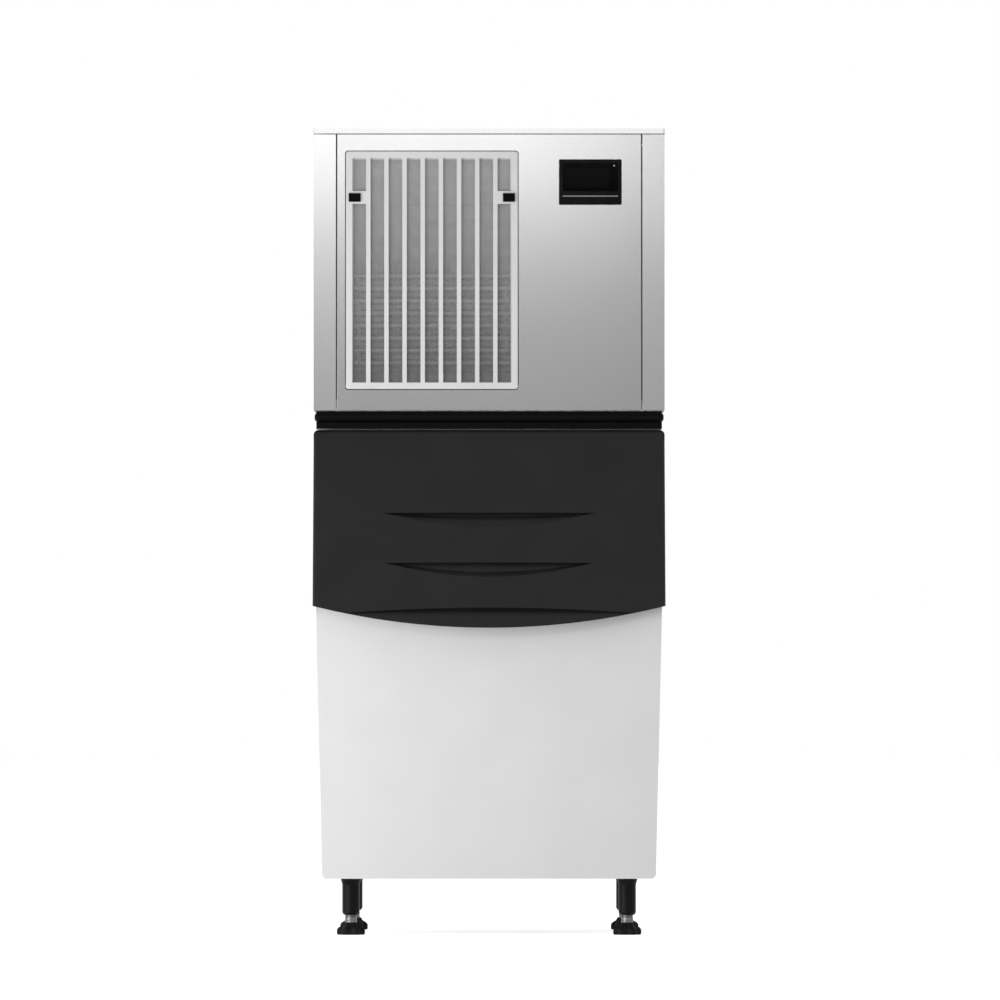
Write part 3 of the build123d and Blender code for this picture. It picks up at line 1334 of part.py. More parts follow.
def evaporator():
    """Plate with a grid of open cube cells in front and a serpentine coil behind."""
    left, right, low, high = evaporator_frame_sizes()
    back = EVAPORATOR_BACK
    front = back - EVAPORATOR_PLATE - CELL_DEPTH
    plate = block((left, front, low), (right, back, high))
    columns = int((EVAPORATOR_WIDTH - CELL_WALL) / CELL_PITCH)
    rows = int((EVAPORATOR_HEIGHT - CELL_WALL) / CELL_PITCH)
    cell = Rectangle(CELL_PITCH - CELL_WALL, CELL_PITCH - CELL_WALL)
    cells = Sketch()
    for place in GridLocations(CELL_PITCH, CELL_PITCH, columns, rows):
        cells += place * cell
    cells = Pos((left + right) / 2, (low + high) / 2) * cells
    plate -= slab_xz(cells, front - 1, back - EVAPORATOR_PLATE)
    return [plate, evaporator_coil()]


def evaporator_coil():
    """Serpentine coil between the liquid and the suction line."""
    left, right, low, high = evaporator_frame_sizes()
    y = coil_tube_y() + SEAT_GAP
    start = LIQUID_AT[1]
    pitch = (SUCTION_AT[1] - start) / (COIL_RUNS - 1)
    near = COIL_END_X + COIL_MARGIN / 2
    far = right - COIL_MARGIN
    points = []
    for number in range(COIL_RUNS):
        z = start + number * pitch
        ends = [(near, y, z), (far, y, z)]
        if number % 2:
            ends.reverse()
        points += ends
    return bent_tube(points, min(pitch / 2.2, 18), TUBE_RADIUS)


def evaporator_frame():
    """White moulded surround, fixed to the wall, with cheeks that hold the curtain's pins."""
    left, right, low, high = evaporator_frame_sizes()
    back = EVAPORATOR_BACK
    front = back - EVAPORATOR_PLATE - CELL_DEPTH
    border = EVAPORATOR_BORDER
    wall_side = WALL_X + WALL_SHEET + SEAT_GAP
    surround = block((wall_side, front, low - border), (right + border, back, high + border))
    gap = SEAT_GAP
    surround -= block((left - gap, front - 1, low - gap), (right + gap, back + 1, high + gap))
    y, z = curtain_pivot()
    for x in (left - border, right + border - CHEEK):
        cheek = block((x, CURTAIN_FRONT - 6, high - 14), (x + CHEEK, front + 1, high + border))
        cheek = fillet(cheek.edges().filter_by(Axis.X).sort_by(Axis.Y)[:2], 6)
        cheek -= pipe((x - 1, y, z), (x + CHEEK + 1, y, z), CURTAIN_PIN + RUNNING_FIT)
        surround += cheek
    return surround


def curtain_pivot():
    """Y and Z of the line that the water curtain swings on."""
    left, right, low, high = evaporator_frame_sizes()
    return CURTAIN_FRONT + CURTAIN_SHEET / 2 + 2, high + 2


def water_curtain():
    """Thin white sheet that hangs in front of the grid from two pins, with three upright ribs."""
    left, right, low, high = evaporator_frame_sizes()
    edge = EVAPORATOR_BORDER - CHEEK - HINGE_SIDE_GAP
    y, z = curtain_pivot()
    front = y - CURTAIN_SHEET / 2
    low_edge = low - CURTAIN_DROP
    sheet = block((left - edge, front, low_edge), (right + edge, front + CURTAIN_SHEET, z))
    sheet += pipe((left - edge, y, z), (right + edge, y, z), CURTAIN_PIN + 2)
    for x in (left + 20, (left + right) / 2, right - 20):
        half = CURTAIN_RIB / 2
        sheet += block((x - half, front - CHEEK, low_edge), (x + half, front + 1, z - 20))
    pin_end = EVAPORATOR_BORDER - 1
    return sheet + pipe((left - pin_end, y, z), (right + pin_end, y, z), CURTAIN_PIN)


def distributor_tube():
    """Water tube along the top of the evaporator with a row of outlet holes."""
    left, right, low, high = evaporator_frame_sizes()
    y = EVAPORATOR_BACK - EVAPORATOR_PLATE - CELL_DEPTH / 2
    z = high + EVAPORATOR_BORDER + DISTRIBUTOR_RADIUS + SEAT_GAP
    tube = pipe((left, y, z), (right, y, z), DISTRIBUTOR_RADIUS)
    tube -= pipe((left + 3, y, z), (right - 3, y, z), DISTRIBUTOR_RADIUS - DISTRIBUTOR_WALL)
    for number in range(DISTRIBUTOR_HOLES):
        x = left + (number + 0.5) * (right - left) / DISTRIBUTOR_HOLES
        tube -= pipe((x, y, z), (x, y - 12, z - 8), 1.6)
    return tube


def trough_box():
    """Lowest and highest corner of the water trough."""
    left, right, low, high = evaporator_frame_sizes()
    front = CURTAIN_FRONT + CURTAIN_SHEET + 10
    top = low - EVAPORATOR_BORDER - 6
    return (left - TROUGH_SIDE, front, top - TROUGH_HEIGHT), (right + TROUGH_SIDE, front + TROUGH_DEPTH, top)


def water_trough():
    """Moulded trough with rounded floor edges and a back plate fixed behind the evaporator's frame."""
    low, high = trough_box()
    trough = block(low, high)
    trough = fillet(trough.edges().filter_by(Axis.X).sort_by(Axis.Z)[:2], TROUGH_ROUND)
    hollow = block(
        (low[0] + TROUGH_WALL, low[1] + TROUGH_WALL, low[2] + TROUGH_WALL),
        (high[0] - TROUGH_WALL, high[1] - TROUGH_WALL, high[2] + 60),
    )
    hollow = fillet(hollow.edges().filter_by(Axis.X).sort_by(Axis.Z)[:2], TROUGH_ROUND - TROUGH_WALL)
    trough -= hollow
    hanger_y = EVAPORATOR_BACK + SEAT_GAP
    left, right, plate_low, plate_high = evaporator_frame_sizes()
    for x in (low[0], high[0] - TROUGH_WALL):
        trough += block((x, hanger_y, high[2] - 20), (x + TROUGH_WALL, hanger_y + 30, plate_low - 2))
    return trough


def pump_place():
    """X and Y of the pump's axis in the rear of the trough."""
    low, high = trough_box()
    return high[0] - PUMP_SIDE, high[1] - PUMP_BACK


def pump_tube_x():
    """X at which the pump's riser stands beside the motor."""
    return pump_place()[0] - PUMP_TUBE_SIDE


def water_pump():
    """Pump that stands in the trough, hung from a plate across its rim, with its motor above."""
    low, high = trough_box()
    x, y = pump_place()
    rim = high[2] + SEAT_GAP
    top = rim + PUMP_PLATE
    tube_x = pump_tube_x()
    plate = block((tube_x - PUMP_PLATE_MARGIN, y - 30, rim), (high[0], high[1], top))
    bottom = low[2] + PUMP_VOLUTE_LOW
    volute = pipe((x, y, bottom), (x, y, bottom + PUMP_VOLUTE_HEIGHT), PUMP_VOLUTE_RADIUS)
    volute = fillet(volute.edges().filter_by(GeomType.CIRCLE), 5)
    stem = pipe((x, y, bottom + PUMP_VOLUTE_HEIGHT - 5), (x, y, rim + 1), 10)
    motor = pipe((x, y, top), (x, y, top + PUMP_MOTOR_HEIGHT), PUMP_MOTOR_RADIUS)
    motor = fillet(motor.edges().filter_by(GeomType.CIRCLE).sort_by(Axis.Z)[-1], 8)
    tube_hole = pipe((tube_x, y, rim - 1), (tube_x, y, top + 1), PUMP_TUBE_RADIUS + SEAT_GAP)
    return plate + volute + stem + motor - tube_hole


def pump_tube():
    """Riser from the pump to the distributor tube."""
    low, high = trough_box()
    x, y = pump_place()
    left, right, plate_low, plate_high = evaporator_frame_sizes()
    top = plate_high + EVAPORATOR_BORDER + DISTRIBUTOR_RADIUS + SEAT_GAP
    distributor_y = EVAPORATOR_BACK - EVAPORATOR_PLATE - CELL_DEPTH / 2
    outlet_z = low[2] + PUMP_VOLUTE_LOW + PUMP_VOLUTE_HEIGHT / 2
    tube_x = pump_tube_x()
    points = [
        (x - PUMP_VOLUTE_RADIUS - SEAT_GAP, y, outlet_z),
        (tube_x, y, outlet_z),
        (tube_x, y, top),
        (tube_x, distributor_y + DISTRIBUTOR_RADIUS + SEAT_GAP, top),
    ]
    return bent_tube(points, PUMP_TUBE_BEND, PUMP_TUBE_RADIUS)


def float_place():
    """X, Y and Z of the float valve's seat on the trough's left rim."""
    low, high = trough_box()
    return low[0] + FLOAT_INSET, high[1] - FLOAT_BACK, high[2]


def float_pivot():
    """X and Z of the pin that the float arm turns on."""
    x, y, z = float_place()
    return x + FLOAT_PIVOT_SIDE, z + FLOAT_PIVOT_RISE


def float_valve():
    """Valve body on the trough's rim with a forked nose that holds the float arm's pin."""
    x, y, z = float_place()
    left = trough_box()[0][0]
    body = block((left, y - 14, z + SEAT_GAP), (x + 6, y + 14, z + 26))
    body = fillet(body.edges().filter_by(Axis.Z), 3)
    for side in (-1, 1):
        tine = sorted((y + side * 5, y + side * 9))
        body += block((x + 5, tine[0], z + SEAT_GAP), (x + 20, tine[1], z + 2 * FLOAT_PIVOT_RISE))
    pivot_x, pivot_z = float_pivot()
    return body + pipe((pivot_x, y - 9, pivot_z), (pivot_x, y + 9, pivot_z), FLOAT_PIN)


def float_arm():
    """Float on its arm, which turns on the valve's pin."""
    y = float_place()[1]
    x, z = float_pivot()
    hub = pipe((x, y - 4.5, z), (x, y + 4.5, z), FLOAT_PIN + 3)
    half = FLOAT_BALL / 2
    middle = pump_tube_x() - PUMP_TUBE_RADIUS - FLOAT_GAP - half
    arm = block((x, y - 2, z - 2), (middle + 2, y + 2, z + 2))
    ball_top = z - FLOAT_PIVOT_RISE - 20
    drop = block((middle - 2, y - 2, ball_top - 2), (middle + 2, y + 2, z + 2))
    ball = rounded_box((middle - half, y - 16, ball_top - 26), (middle + half, y + 16, ball_top), 6)
    return hub + arm + drop + ball - pipe((x, y - 5, z), (x, y + 5, z), FLOAT_PIN + RUNNING_FIT)


def hex_bar(x, z, start, end, flats):
    """Six-sided bar along Y."""
    return slab_xz(Pos(x, z) * RegularPolygon(flats / 2, 6, major_radius=False), start, end)


def water_inlet_fitting():
    """Brass inlet with a hexagon behind the back sheet, its shank and a nut inside."""
    x, z, radius = rear_holes()[0]
    back = HEAD_DEPTH - SHEET
    body = hex_bar(x, z, back + SEAT_GAP, back + 9, 34)
    body += pipe((x, back - INLET_SHANK, z), (x, back + DRAIN_REACH, z), radius)
    body += hex_bar(x, z, back - SHEET - SEAT_GAP - 8, back - SHEET - SEAT_GAP, 34)
    return body - pipe((x, back - INLET_SHANK - 1, z), (x, back + DRAIN_REACH + 1, z), radius - 4)


def inlet_tube():
    """Supply tube from the inlet to the float valve."""
    x, z, radius = rear_holes()[0]
    back = HEAD_DEPTH - SHEET - INLET_SHANK
    run_y = back - INLET_SHANK
    fx, fy, fz = float_place()
    run_z = fz + INLET_TUBE_RISE
    end_x = fx - 8
    points = [
        (x, back - SEAT_GAP, z),
        (x, run_y, z),
        (x, run_y, run_z),
        (end_x, run_y, run_z),
        (end_x, fy, run_z),
        (end_x, fy, fz + 26),
    ]
    return bent_tube(points, 2 * INLET_TUBE_RADIUS, INLET_TUBE_RADIUS)


def head_drain_fitting():
    """Plastic drain pipe from the trough's floor out through the back sheet, with a collar and a spigot."""
    x, z, radius = rear_holes()[1]
    low, high = trough_box()
    start = high[1] - FLOAT_BACK
    end = HEAD_DEPTH + DRAIN_REACH
    shoulder = HEAD_DEPTH + DRAIN_COLLAR_THICKNESS
    points = [(x, start, low[2] - SEAT_GAP), (x, start, z), (x, end, z)]
    bend = DRAIN_BODY + 1
    drain = bent_tube(points, bend, radius)
    drain += pipe((x, HEAD_DEPTH - SHEET + SEAT_GAP, z), (x, shoulder, z), DRAIN_COLLAR)
    drain += pipe((x, shoulder, z), (x, end, z), DRAIN_OUTER)
    return drain - bent_tube(points, bend, DRAIN_BORE)


def cable_gland():
    """Gland through the back sheet for the supply cable: hexagon, domed cap and open bore."""
    x, z, radius = rear_holes()[2]
    back = HEAD_DEPTH - SHEET
    body = hex_bar(x, z, back + SEAT_GAP, back + 7, 25)
    cap = pipe((x, back + 7, z), (x, back + 22, z), GLAND_CAP)
    body += fillet(cap.edges().filter_by(GeomType.CIRCLE).sort_by(Axis.Y)[-1], 4)
    body += pipe((x, back - 14, z), (x, back + 8, z), radius)
    body += hex_bar(x, z, back - SHEET - SEAT_GAP - 5, back - SHEET - SEAT_GAP, 25)
    return body - pipe((x, back - 15, z), (x, back + 23, z), GLAND_BORE)


def build():
    """Every piece by its node name; a list of solids is a group of like pieces."""
    hollow = door_hollow()
    foam, liner = door_insides(hollow)
    right_panel = head_side_panel()
    pieces = {
        "bin_shell": bin_shell(),
        "bin_insulation": bin_insulation(),
        "bin_liner": bin_liner(),
        "bin_top_frame": bin_top_frame(),
        "opening_gasket": opening_gasket(),
        "door_hinge_plates": door_hinge_plates(),
        "bin_drain_fitting": bin_drain_fitting(),
        "leg_sockets": leg_sockets(),
        "door_shell": door_shell(hollow),
        "door_foam": foam,
        "door_liner": liner,
        "head_base": head_base(),
        "head_frame_posts": head_frame_posts(),
        "head_left_panel": mirrored(right_panel),
        "head_right_panel": right_panel,
        "head_back_panel": head_back_panel(),
        "head_top_panel": head_top_panel(),
        "head_front_panel": head_front_panel(),
        "panel_screws": panel_screws(),
        "compartment_wall": compartment_wall(),
        "filter_frame": filter_frame(),
        "filter_mesh": filter_mesh(),
        "filter_hinge_clips": filter_hinge_clips(),
        "filter_latch_left": filter_latch(-1),
        "filter_latch_right": filter_latch(1),
        "control_bezel": control_bezel(),
        "control_window": control_window(),
        "control_box": control_box(),
        "condenser": condenser(),
        "fan_shroud": fan_shroud(),
        "fan_motor": fan_motor(),
        "fan_bracket": fan_bracket(),
        "fan_blades": fan_blades(),
        "compressor": compressor(),
        "compressor_grommets": compressor_grommets(),
        "discharge_line": discharge_line(),
        "liquid_line": liquid_line(),
        "suction_line": suction_line(),
        "evaporator": evaporator(),
        "evaporator_frame": evaporator_frame(),
        "water_curtain": water_curtain(),
        "distributor_tube": distributor_tube(),
        "water_trough": water_trough(),
        "water_pump": water_pump(),
        "pump_tube": pump_tube(),
        "float_valve": float_valve(),
        "float_arm": float_arm(),
        "inlet_tube": inlet_tube(),
        "water_inlet_fitting": water_inlet_fitting(),
        "head_drain_fitting": head_drain_fitting(),
        "cable_gland": cable_gland(),
    }
    names = ("front_left", "front_right", "rear_left", "rear_right")
    for name, (x, y) in zip(names, leg_places()):
        pieces["leg_" + name] = leg(x, y)
        pieces["foot_" + name] = foot(x, y)
    return pieces


def as_shape(piece):
    """One shape to write: a group of solids becomes a compound."""
    if isinstance(piece, list):
        return Compound(children=[part for part in piece])
    solids = piece.solids()
    return solids[0] if len(solids) == 1 else Compound(children=list(solids))


def write(pieces):
    """Centre the machine over the origin and write one file for each node."""
    os.makedirs("parts", exist_ok=True)
    shapes = {name: as_shape(piece) for name, piece in pieces.items()}
    boxes = [shape.bounding_box() for shape in shapes.values()]
    middle = (min(b.min.Y for b in boxes) + max(b.max.Y for b in boxes)) / 2
    print("moved in Y by", round(-middle, 4))
    for name, shape in shapes.items():
        export_step(shape.moved(Pos(0, -middle, 0)), os.path.join("parts", name + ".step"))


if __name__ == "__main__":
    write(build())
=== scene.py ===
import json
import math

import bmesh
import bpy
from bpy.props import FloatProperty, FloatVectorProperty, PointerProperty, StringProperty
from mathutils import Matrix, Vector

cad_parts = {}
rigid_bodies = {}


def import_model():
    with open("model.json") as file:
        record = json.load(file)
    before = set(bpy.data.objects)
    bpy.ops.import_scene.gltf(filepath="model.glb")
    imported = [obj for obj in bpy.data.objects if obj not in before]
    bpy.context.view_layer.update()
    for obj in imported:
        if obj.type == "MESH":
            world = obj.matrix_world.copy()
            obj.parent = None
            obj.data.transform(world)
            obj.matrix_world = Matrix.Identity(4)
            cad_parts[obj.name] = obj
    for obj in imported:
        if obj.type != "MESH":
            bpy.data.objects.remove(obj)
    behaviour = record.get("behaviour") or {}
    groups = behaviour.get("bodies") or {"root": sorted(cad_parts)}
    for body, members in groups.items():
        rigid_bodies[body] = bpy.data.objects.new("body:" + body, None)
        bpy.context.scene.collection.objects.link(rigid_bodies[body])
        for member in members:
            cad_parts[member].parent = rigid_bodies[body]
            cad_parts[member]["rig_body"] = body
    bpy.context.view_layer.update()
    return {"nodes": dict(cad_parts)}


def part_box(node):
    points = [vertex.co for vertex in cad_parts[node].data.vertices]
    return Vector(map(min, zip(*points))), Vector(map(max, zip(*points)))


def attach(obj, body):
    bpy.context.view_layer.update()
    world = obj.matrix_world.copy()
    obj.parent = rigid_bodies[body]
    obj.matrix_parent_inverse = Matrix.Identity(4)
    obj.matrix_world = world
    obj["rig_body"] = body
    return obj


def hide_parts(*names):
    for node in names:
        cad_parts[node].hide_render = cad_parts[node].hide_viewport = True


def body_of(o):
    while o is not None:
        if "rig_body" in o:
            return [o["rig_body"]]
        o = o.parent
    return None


bl_info = {
    "name": "Ice Machine",
    "version": (1, 0, 0),
    "blender": (4, 5, 0),
    "location": "3D View > Sidebar > Ice Machine",
    "description": "Finishes and fine pieces of an ice machine on its storage bin",
    "category": "Object",
}

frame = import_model()
MM = 0.001


# Colours and nodes


def linear(code):
    """Linear colour, with its alpha, of an sRGB hex code."""
    parts = [int(code[i : i + 2], 16) / 255 for i in (1, 3, 5)]
    values = [c / 12.92 if c <= 0.04045 else ((c + 0.055) / 1.055) ** 2.4 for c in parts]
    return (*values, 1.0)


def add(tree, kind, inputs=None, **options):
    """Adds a node, gives it its options, and sets or links each of its named inputs."""
    node = tree.nodes.new(kind)
    for name, value in options.items():
        setattr(node, name, value)
    for name, value in (inputs or {}).items():
        if isinstance(value, bpy.types.NodeSocket):
            tree.links.new(value, node.inputs[name])
        else:
            node.inputs[name].default_value = value
    return node


def blank(name, **constants):
    """New material with a principled shader, and the place on the piece in metres."""
    material = bpy.data.materials.new(name)
    material.use_nodes = True
    tree = material.node_tree
    shader = tree.nodes["Principled BSDF"]
    for key, value in constants.items():
        shader.inputs[key.replace("_", " ")].default_value = value
    place = add(tree, "ShaderNodeTexCoord").outputs["Object"]
    return material, tree, shader, place


def mottle(tree, place, size, stretch=(1, 1, 1), detail=2.0):
    """Even noise from 0 to 1 in blots this many millimetres wide, longer along stretched axes."""
    scale = [1 / (size * MM * s) for s in stretch]
    scaled = add(tree, "ShaderNodeMapping", {"Vector": place, "Scale": scale})
    inputs = {"Vector": scaled.outputs[0], "Scale": 1.0, "Detail": detail}
    noise = add(tree, "ShaderNodeTexNoise", inputs)
    # Nearly all of the noise lies between 0.3 and 0.7.
    spread = {"Value": noise.outputs["Fac"], "From Min": 0.3, "From Max": 0.7}
    return add(tree, "ShaderNodeMapRange", spread).outputs["Result"]


def cells(tree, place, size, **options):
    """Outputs of a pattern of round cells about this many millimetres wide."""
    scaled = add(tree, "ShaderNodeMapping", {"Vector": place, "Scale": [1 / (size * MM)] * 3})
    inputs = {"Vector": scaled.outputs[0], "Scale": 1.0}
    return add(tree, "ShaderNodeTexVoronoi", inputs, **options).outputs


def seen_directly(tree):
    """1 for rays from the camera, also by way of gloss or clear plastic, and 0 for the rest."""
    path = add(tree, "ShaderNodeLightPath").outputs
    seen = path["Is Camera Ray"]
    for kind in ("Is Glossy Ray", "Is Transmission Ray"):
        seen = add(tree, "ShaderNodeMath", {0: seen, 1: path[kind]}, operation="MAXIMUM").outputs[0]
    return seen


def tint(tree, shader, amount, dark, light):
    """Base colour between two sRGB colours."""
    inputs = {"Factor": amount, "A": linear(dark), "B": linear(light)}
    mix = add(tree, "ShaderNodeMix", inputs, data_type="RGBA")
    tree.links.new(mix.outputs["Result"], shader.inputs["Base Color"])


def polish(tree, shader, amount, low, high):
    """Roughness between two values."""
    span = add(tree, "ShaderNodeMapRange", {"Value": amount, "To Min": low, "To Max": high})
    tree.links.new(span.outputs["Result"], shader.inputs["Roughness"])


def relief(tree, shader, height, depth):
    """Bump this many millimetres deep."""
    bump = add(tree, "ShaderNodeBump", {"Height": height, "Distance": depth * MM, "Strength": 1.0})
    tree.links.new(bump.outputs["Normal"], shader.inputs["Normal"])


# Finishes: each is one real material and the way its surface was made


def brushed_stainless(name, dark, light, along, low, high):
    """Stainless sheet brushed along one axis: bright and dull scratches under clouds of tone."""
    material, tree, shader, place = blank(name, Metallic=1.0)
    # Real scratches are 0.1 mm wide. These are 0.5 mm wide and 60 mm long, so that some show.
    stretch = [120 if axis == along else 1 for axis in "xyz"]
    grain = mottle(tree, place, 0.5, stretch, 2.0)
    cloud = mottle(tree, place, 220, (1, 1, 1.6), 1.0)
    both = add(tree, "ShaderNodeMix", {"Factor": 0.55, "A": grain, "B": cloud}).outputs["Result"]
    tint(tree, shader, both, dark, light)
    polish(tree, shader, grain, low, high)
    relief(tree, shader, grain, 0.0001)
    return material


def powder_coat(name, dark, light, low, high, **constants):
    """Baked paint on steel: an even colour with a faint orange peel and a soft satin sheen."""
    material, tree, shader, place = blank(name, IOR=1.5, **constants)
    cloud = mottle(tree, place, 120, detail=1.0)
    peel = mottle(tree, place, 2.2)
    tint(tree, shader, cloud, dark, light)
    polish(tree, shader, peel, low, high)
    relief(tree, shader, peel, 0.012)
    return material


def grained_moulding(name, dark, light, low, high, grain=1.1, depth=0.03, **constants):
    """Moulded plastic from an etched tool: a fine pebbled grain, with a sheen in broad patches."""
    material, tree, shader, place = blank(name, IOR=1.5, **constants)
    pebbles = cells(tree, place, grain, feature="SMOOTH_F1")
    wear = mottle(tree, place, 90, detail=3.0)
    tint(tree, shader, wear, dark, light)
    polish(tree, shader, wear, low, high)
    relief(tree, shader, pebbles["Distance"], depth)
    return material


def smooth_moulding(name, dark, light, low, high, **constants):
    """Moulded plastic from a polished tool: smooth, with faint flow marks from the moulding."""
    material, tree, shader, place = blank(name, IOR=1.49, **constants)
    flow = mottle(tree, place, 25, (1, 1, 3), 1.0)
    skin = mottle(tree, place, 3.0)
    tint(tree, shader, flow, dark, light)
    polish(tree, shader, flow, low, high)
    relief(tree, shader, skin, 0.006)
    return material


def woven_net(name, dark, light, bottom, top):
    """Woven plastic thread, paler at the top and greyer further down: painted shade for the darker
    coil in shadow behind the lower net, with faint random dust.
    """
    material, tree, shader, place = blank(name, IOR=1.49)
    # Painted shade: the colour rises from dark at the net's bottom to pale at its top.
    apart = add(tree, "ShaderNodeSeparateXYZ", {"Vector": place})
    span = {"Value": apart.outputs["Z"], "From Min": bottom, "From Max": top}
    rise = add(tree, "ShaderNodeMapRange", span)
    dust = mottle(tree, place, 16, detail=3.0)
    shade_and_dust = add(tree, "ShaderNodeMix", {"Factor": 0.12, "A": rise.outputs["Result"], "B": dust})
    tint(tree, shader, shade_and_dust.outputs["Result"], dark, light)
    polish(tree, shader, dust, 0.4, 0.55)
    relief(tree, shader, dust, 0.004)
    return material


def soft_rubber(name, dark, light, **constants):
    """Extruded or moulded rubber: dull black with a faint grey bloom and fine lines."""
    material, tree, shader, place = blank(name, IOR=1.52, **constants)
    bloom = mottle(tree, place, 14)
    lines = mottle(tree, place, 0.8, (30, 1, 1))
    tint(tree, shader, bloom, dark, light)
    polish(tree, shader, bloom, 0.6, 0.8)
    relief(tree, shader, lines, 0.02)
    return material


def galvanised(name, dark, light):
    """Zinc-coated steel: crystals of the zinc, each a little lighter or darker than the next."""
    material, tree, shader, place = blank(name, Metallic=1.0)
    spangle = cells(tree, place, 9)
    split = add(tree, "ShaderNodeSeparateColor", {"Color": spangle["Color"]})
    tint(tree, shader, split.outputs[0], dark, light)
    polish(tree, shader, split.outputs[1], 0.32, 0.5)
    return material


def bare_metal(name, dark, light, low, high, size=6.0, scratch=(1, 1, 1)):
    """Bare drawn, turned or rolled metal: slight tarnish in patches and fine tool marks."""
    material, tree, shader, place = blank(name, Metallic=1.0)
    tarnish = mottle(tree, place, size, detail=3.0)
    marks = mottle(tree, place, 0.7, scratch)
    tint(tree, shader, tarnish, dark, light)
    polish(tree, shader, tarnish, low, high)
    relief(tree, shader, marks, 0.004)
    return material


def rigid_foam(name):
    """Poured foam: pale yellow with small open cells."""
    material, tree, shader, place = blank(name, IOR=1.4)
    bubble = cells(tree, place, 1.6)["Distance"]
    tint(tree, shader, bubble, "#D8C88E", "#EFE3B8")
    polish(tree, shader, bubble, 0.75, 0.95)
    relief(tree, shader, bubble, 0.2)
    return material


def screen_glass(name, low, high):
    """Dark glass over a screen: deep gloss, faint smears, and the screen's area a shade lighter."""
    material, tree, shader, place = blank(name, IOR=1.5, Specular_IOR_Level=0.01)
    apart = add(tree, "ShaderNodeSeparateXYZ", {"Vector": place}).outputs
    inside = 1.0
    for axis, start, end in (("X", low.x, high.x), ("Z", low.z, high.z)):
        for edge, kind in ((start, "GREATER_THAN"), (end, "LESS_THAN")):
            side = add(tree, "ShaderNodeMath", {0: apart[axis], 1: edge}, operation=kind)
            sides = {0: inside, 1: side.outputs[0]}
            inside = add(tree, "ShaderNodeMath", sides, operation="MULTIPLY").outputs[0]
    tint(tree, shader, inside, "#020203", "#08090A")
    smears = mottle(tree, place, 18, (1, 1, 2), 3.0)
    polish(tree, shader, smears, 0.06, 0.14)
    return material


# Modelling


def begin():
    """Goes to object mode with nothing selected, so that an operator acts only on what follows."""
    if bpy.context.object and bpy.context.object.mode != "OBJECT":
        bpy.ops.object.mode_set(mode="OBJECT")
    bpy.ops.object.select_all(action="DESELECT")


def only(piece):
    """Makes one piece the active and only selected one."""
    begin()
    piece.select_set(True)
    bpy.context.view_layer.objects.active = piece
    return piece


def settle(name=None):
    """Puts the active piece's place into its mesh, with its object at the origin."""
    bpy.ops.object.transform_apply(location=True, rotation=True, scale=True)
    piece = bpy.context.object
    if name:
        piece.name = name
        piece.data.name = name
    return piece


def bar_between(low, high):
    """Box from its lowest to its highest corner, the start of a longer shape."""
    begin()
    middle = [(a + b) / 2 for a, b in zip(low, high)]
    size = [b - a for a, b in zip(low, high)]
    bpy.ops.mesh.primitive_cube_add(size=1, location=middle, scale=size)
    return settle()


def rod(start, length, radius, axis, sides=16):
    """Round rod along one axis, from its start."""
    begin()
    turn = {"x": (0, math.pi / 2, 0), "y": (-math.pi / 2, 0, 0), "z": (0, 0, 0)}[axis]
    middle = Vector(start)
    middle["xyz".index(axis)] += length / 2
    bpy.ops.mesh.primitive_cylinder_add(
        vertices=sides, radius=radius, depth=length, location=middle, rotation=turn
    )
    return settle()


def choose(piece, test, kind="faces"):
    """Selects in edit mode only the faces, edges or vertices that pass a test."""
    only(piece)
    bpy.ops.object.mode_set(mode="EDIT")
    bpy.ops.mesh.select_mode(type={"faces": "FACE", "edges": "EDGE", "verts": "VERT"}[kind])
    bpy.ops.mesh.select_all(action="DESELECT")
    mesh = bmesh.from_edit_mesh(piece.data)
    for item in getattr(mesh, kind):
        item.select_set(bool(test(item)))
    mesh.select_flush_mode()
    bmesh.update_edit_mesh(piece.data)


def leave():
    """Back to object mode."""
    bpy.ops.object.mode_set(mode="OBJECT")


def squash(piece, factors, centre):
    """Scales a whole piece about a point."""
    choose(piece, lambda face: True)
    bpy.ops.transform.resize(value=factors, center_override=centre)
    leave()


def repeat(piece, count, step):
    """Copies a piece along a straight row, as one mesh."""
    only(piece)
    bpy.ops.object.modifier_add(type="ARRAY")
    row = piece.modifiers[-1]
    row.count = count
    row.use_relative_offset = False
    row.use_constant_offset = True
    row.constant_offset_displace = step
    bpy.ops.object.modifier_apply(modifier=row.name)
    return piece


def soften(piece, width, segments=2, angle=40):
    """Bevels every edge sharper than an angle."""
    only(piece)
    bpy.ops.object.modifier_add(type="BEVEL")
    edge = piece.modifiers[-1]
    edge.width = width
    edge.segments = segments
    edge.angle_limit = math.radians(angle)
    bpy.ops.object.modifier_apply(modifier=edge.name)
    return piece


def cut_out(piece, tool):
    """Takes one closed shape away from another."""
    only(piece)
    bpy.ops.object.modifier_add(type="BOOLEAN")
    cut = piece.modifiers[-1]
    cut.operation = "DIFFERENCE"
    cut.object = tool
    bpy.ops.object.modifier_apply(modifier=cut.name)
    bpy.data.objects.remove(tool)
    return piece


def united(pieces, name):
    """Joins pieces into one mesh."""
    only(pieces[0])
    for piece in pieces[1:]:
        piece.select_set(True)
    bpy.ops.object.join()
    return settle(name)


def copied(piece, name, step):
    """A copy with its own mesh, moved by a step."""
    only(piece)
    bpy.ops.object.duplicate(linked=False)
    bpy.ops.transform.translate(value=step)
    return settle(name)


def done(piece, body, material, nodes=(), angle=35):
    """Shades a finished piece, gives it its finish and makes it ride on its body."""
    only(piece)
    bpy.ops.object.shade_smooth_by_angle(angle=math.radians(angle))
    piece.data.materials.clear()
    piece.data.materials.append(material)
    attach(piece, body)
    if nodes:
        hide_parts(*nodes)
    return piece


def cover(material, *nodes):
    """Gives carried-over pieces of the machine a finish."""
    for name in nodes:
        piece = frame["nodes"][name]
        if not piece.material_slots:
            piece.data.materials.append(material)
        for place in piece.material_slots:
            place.material = material


# Settings


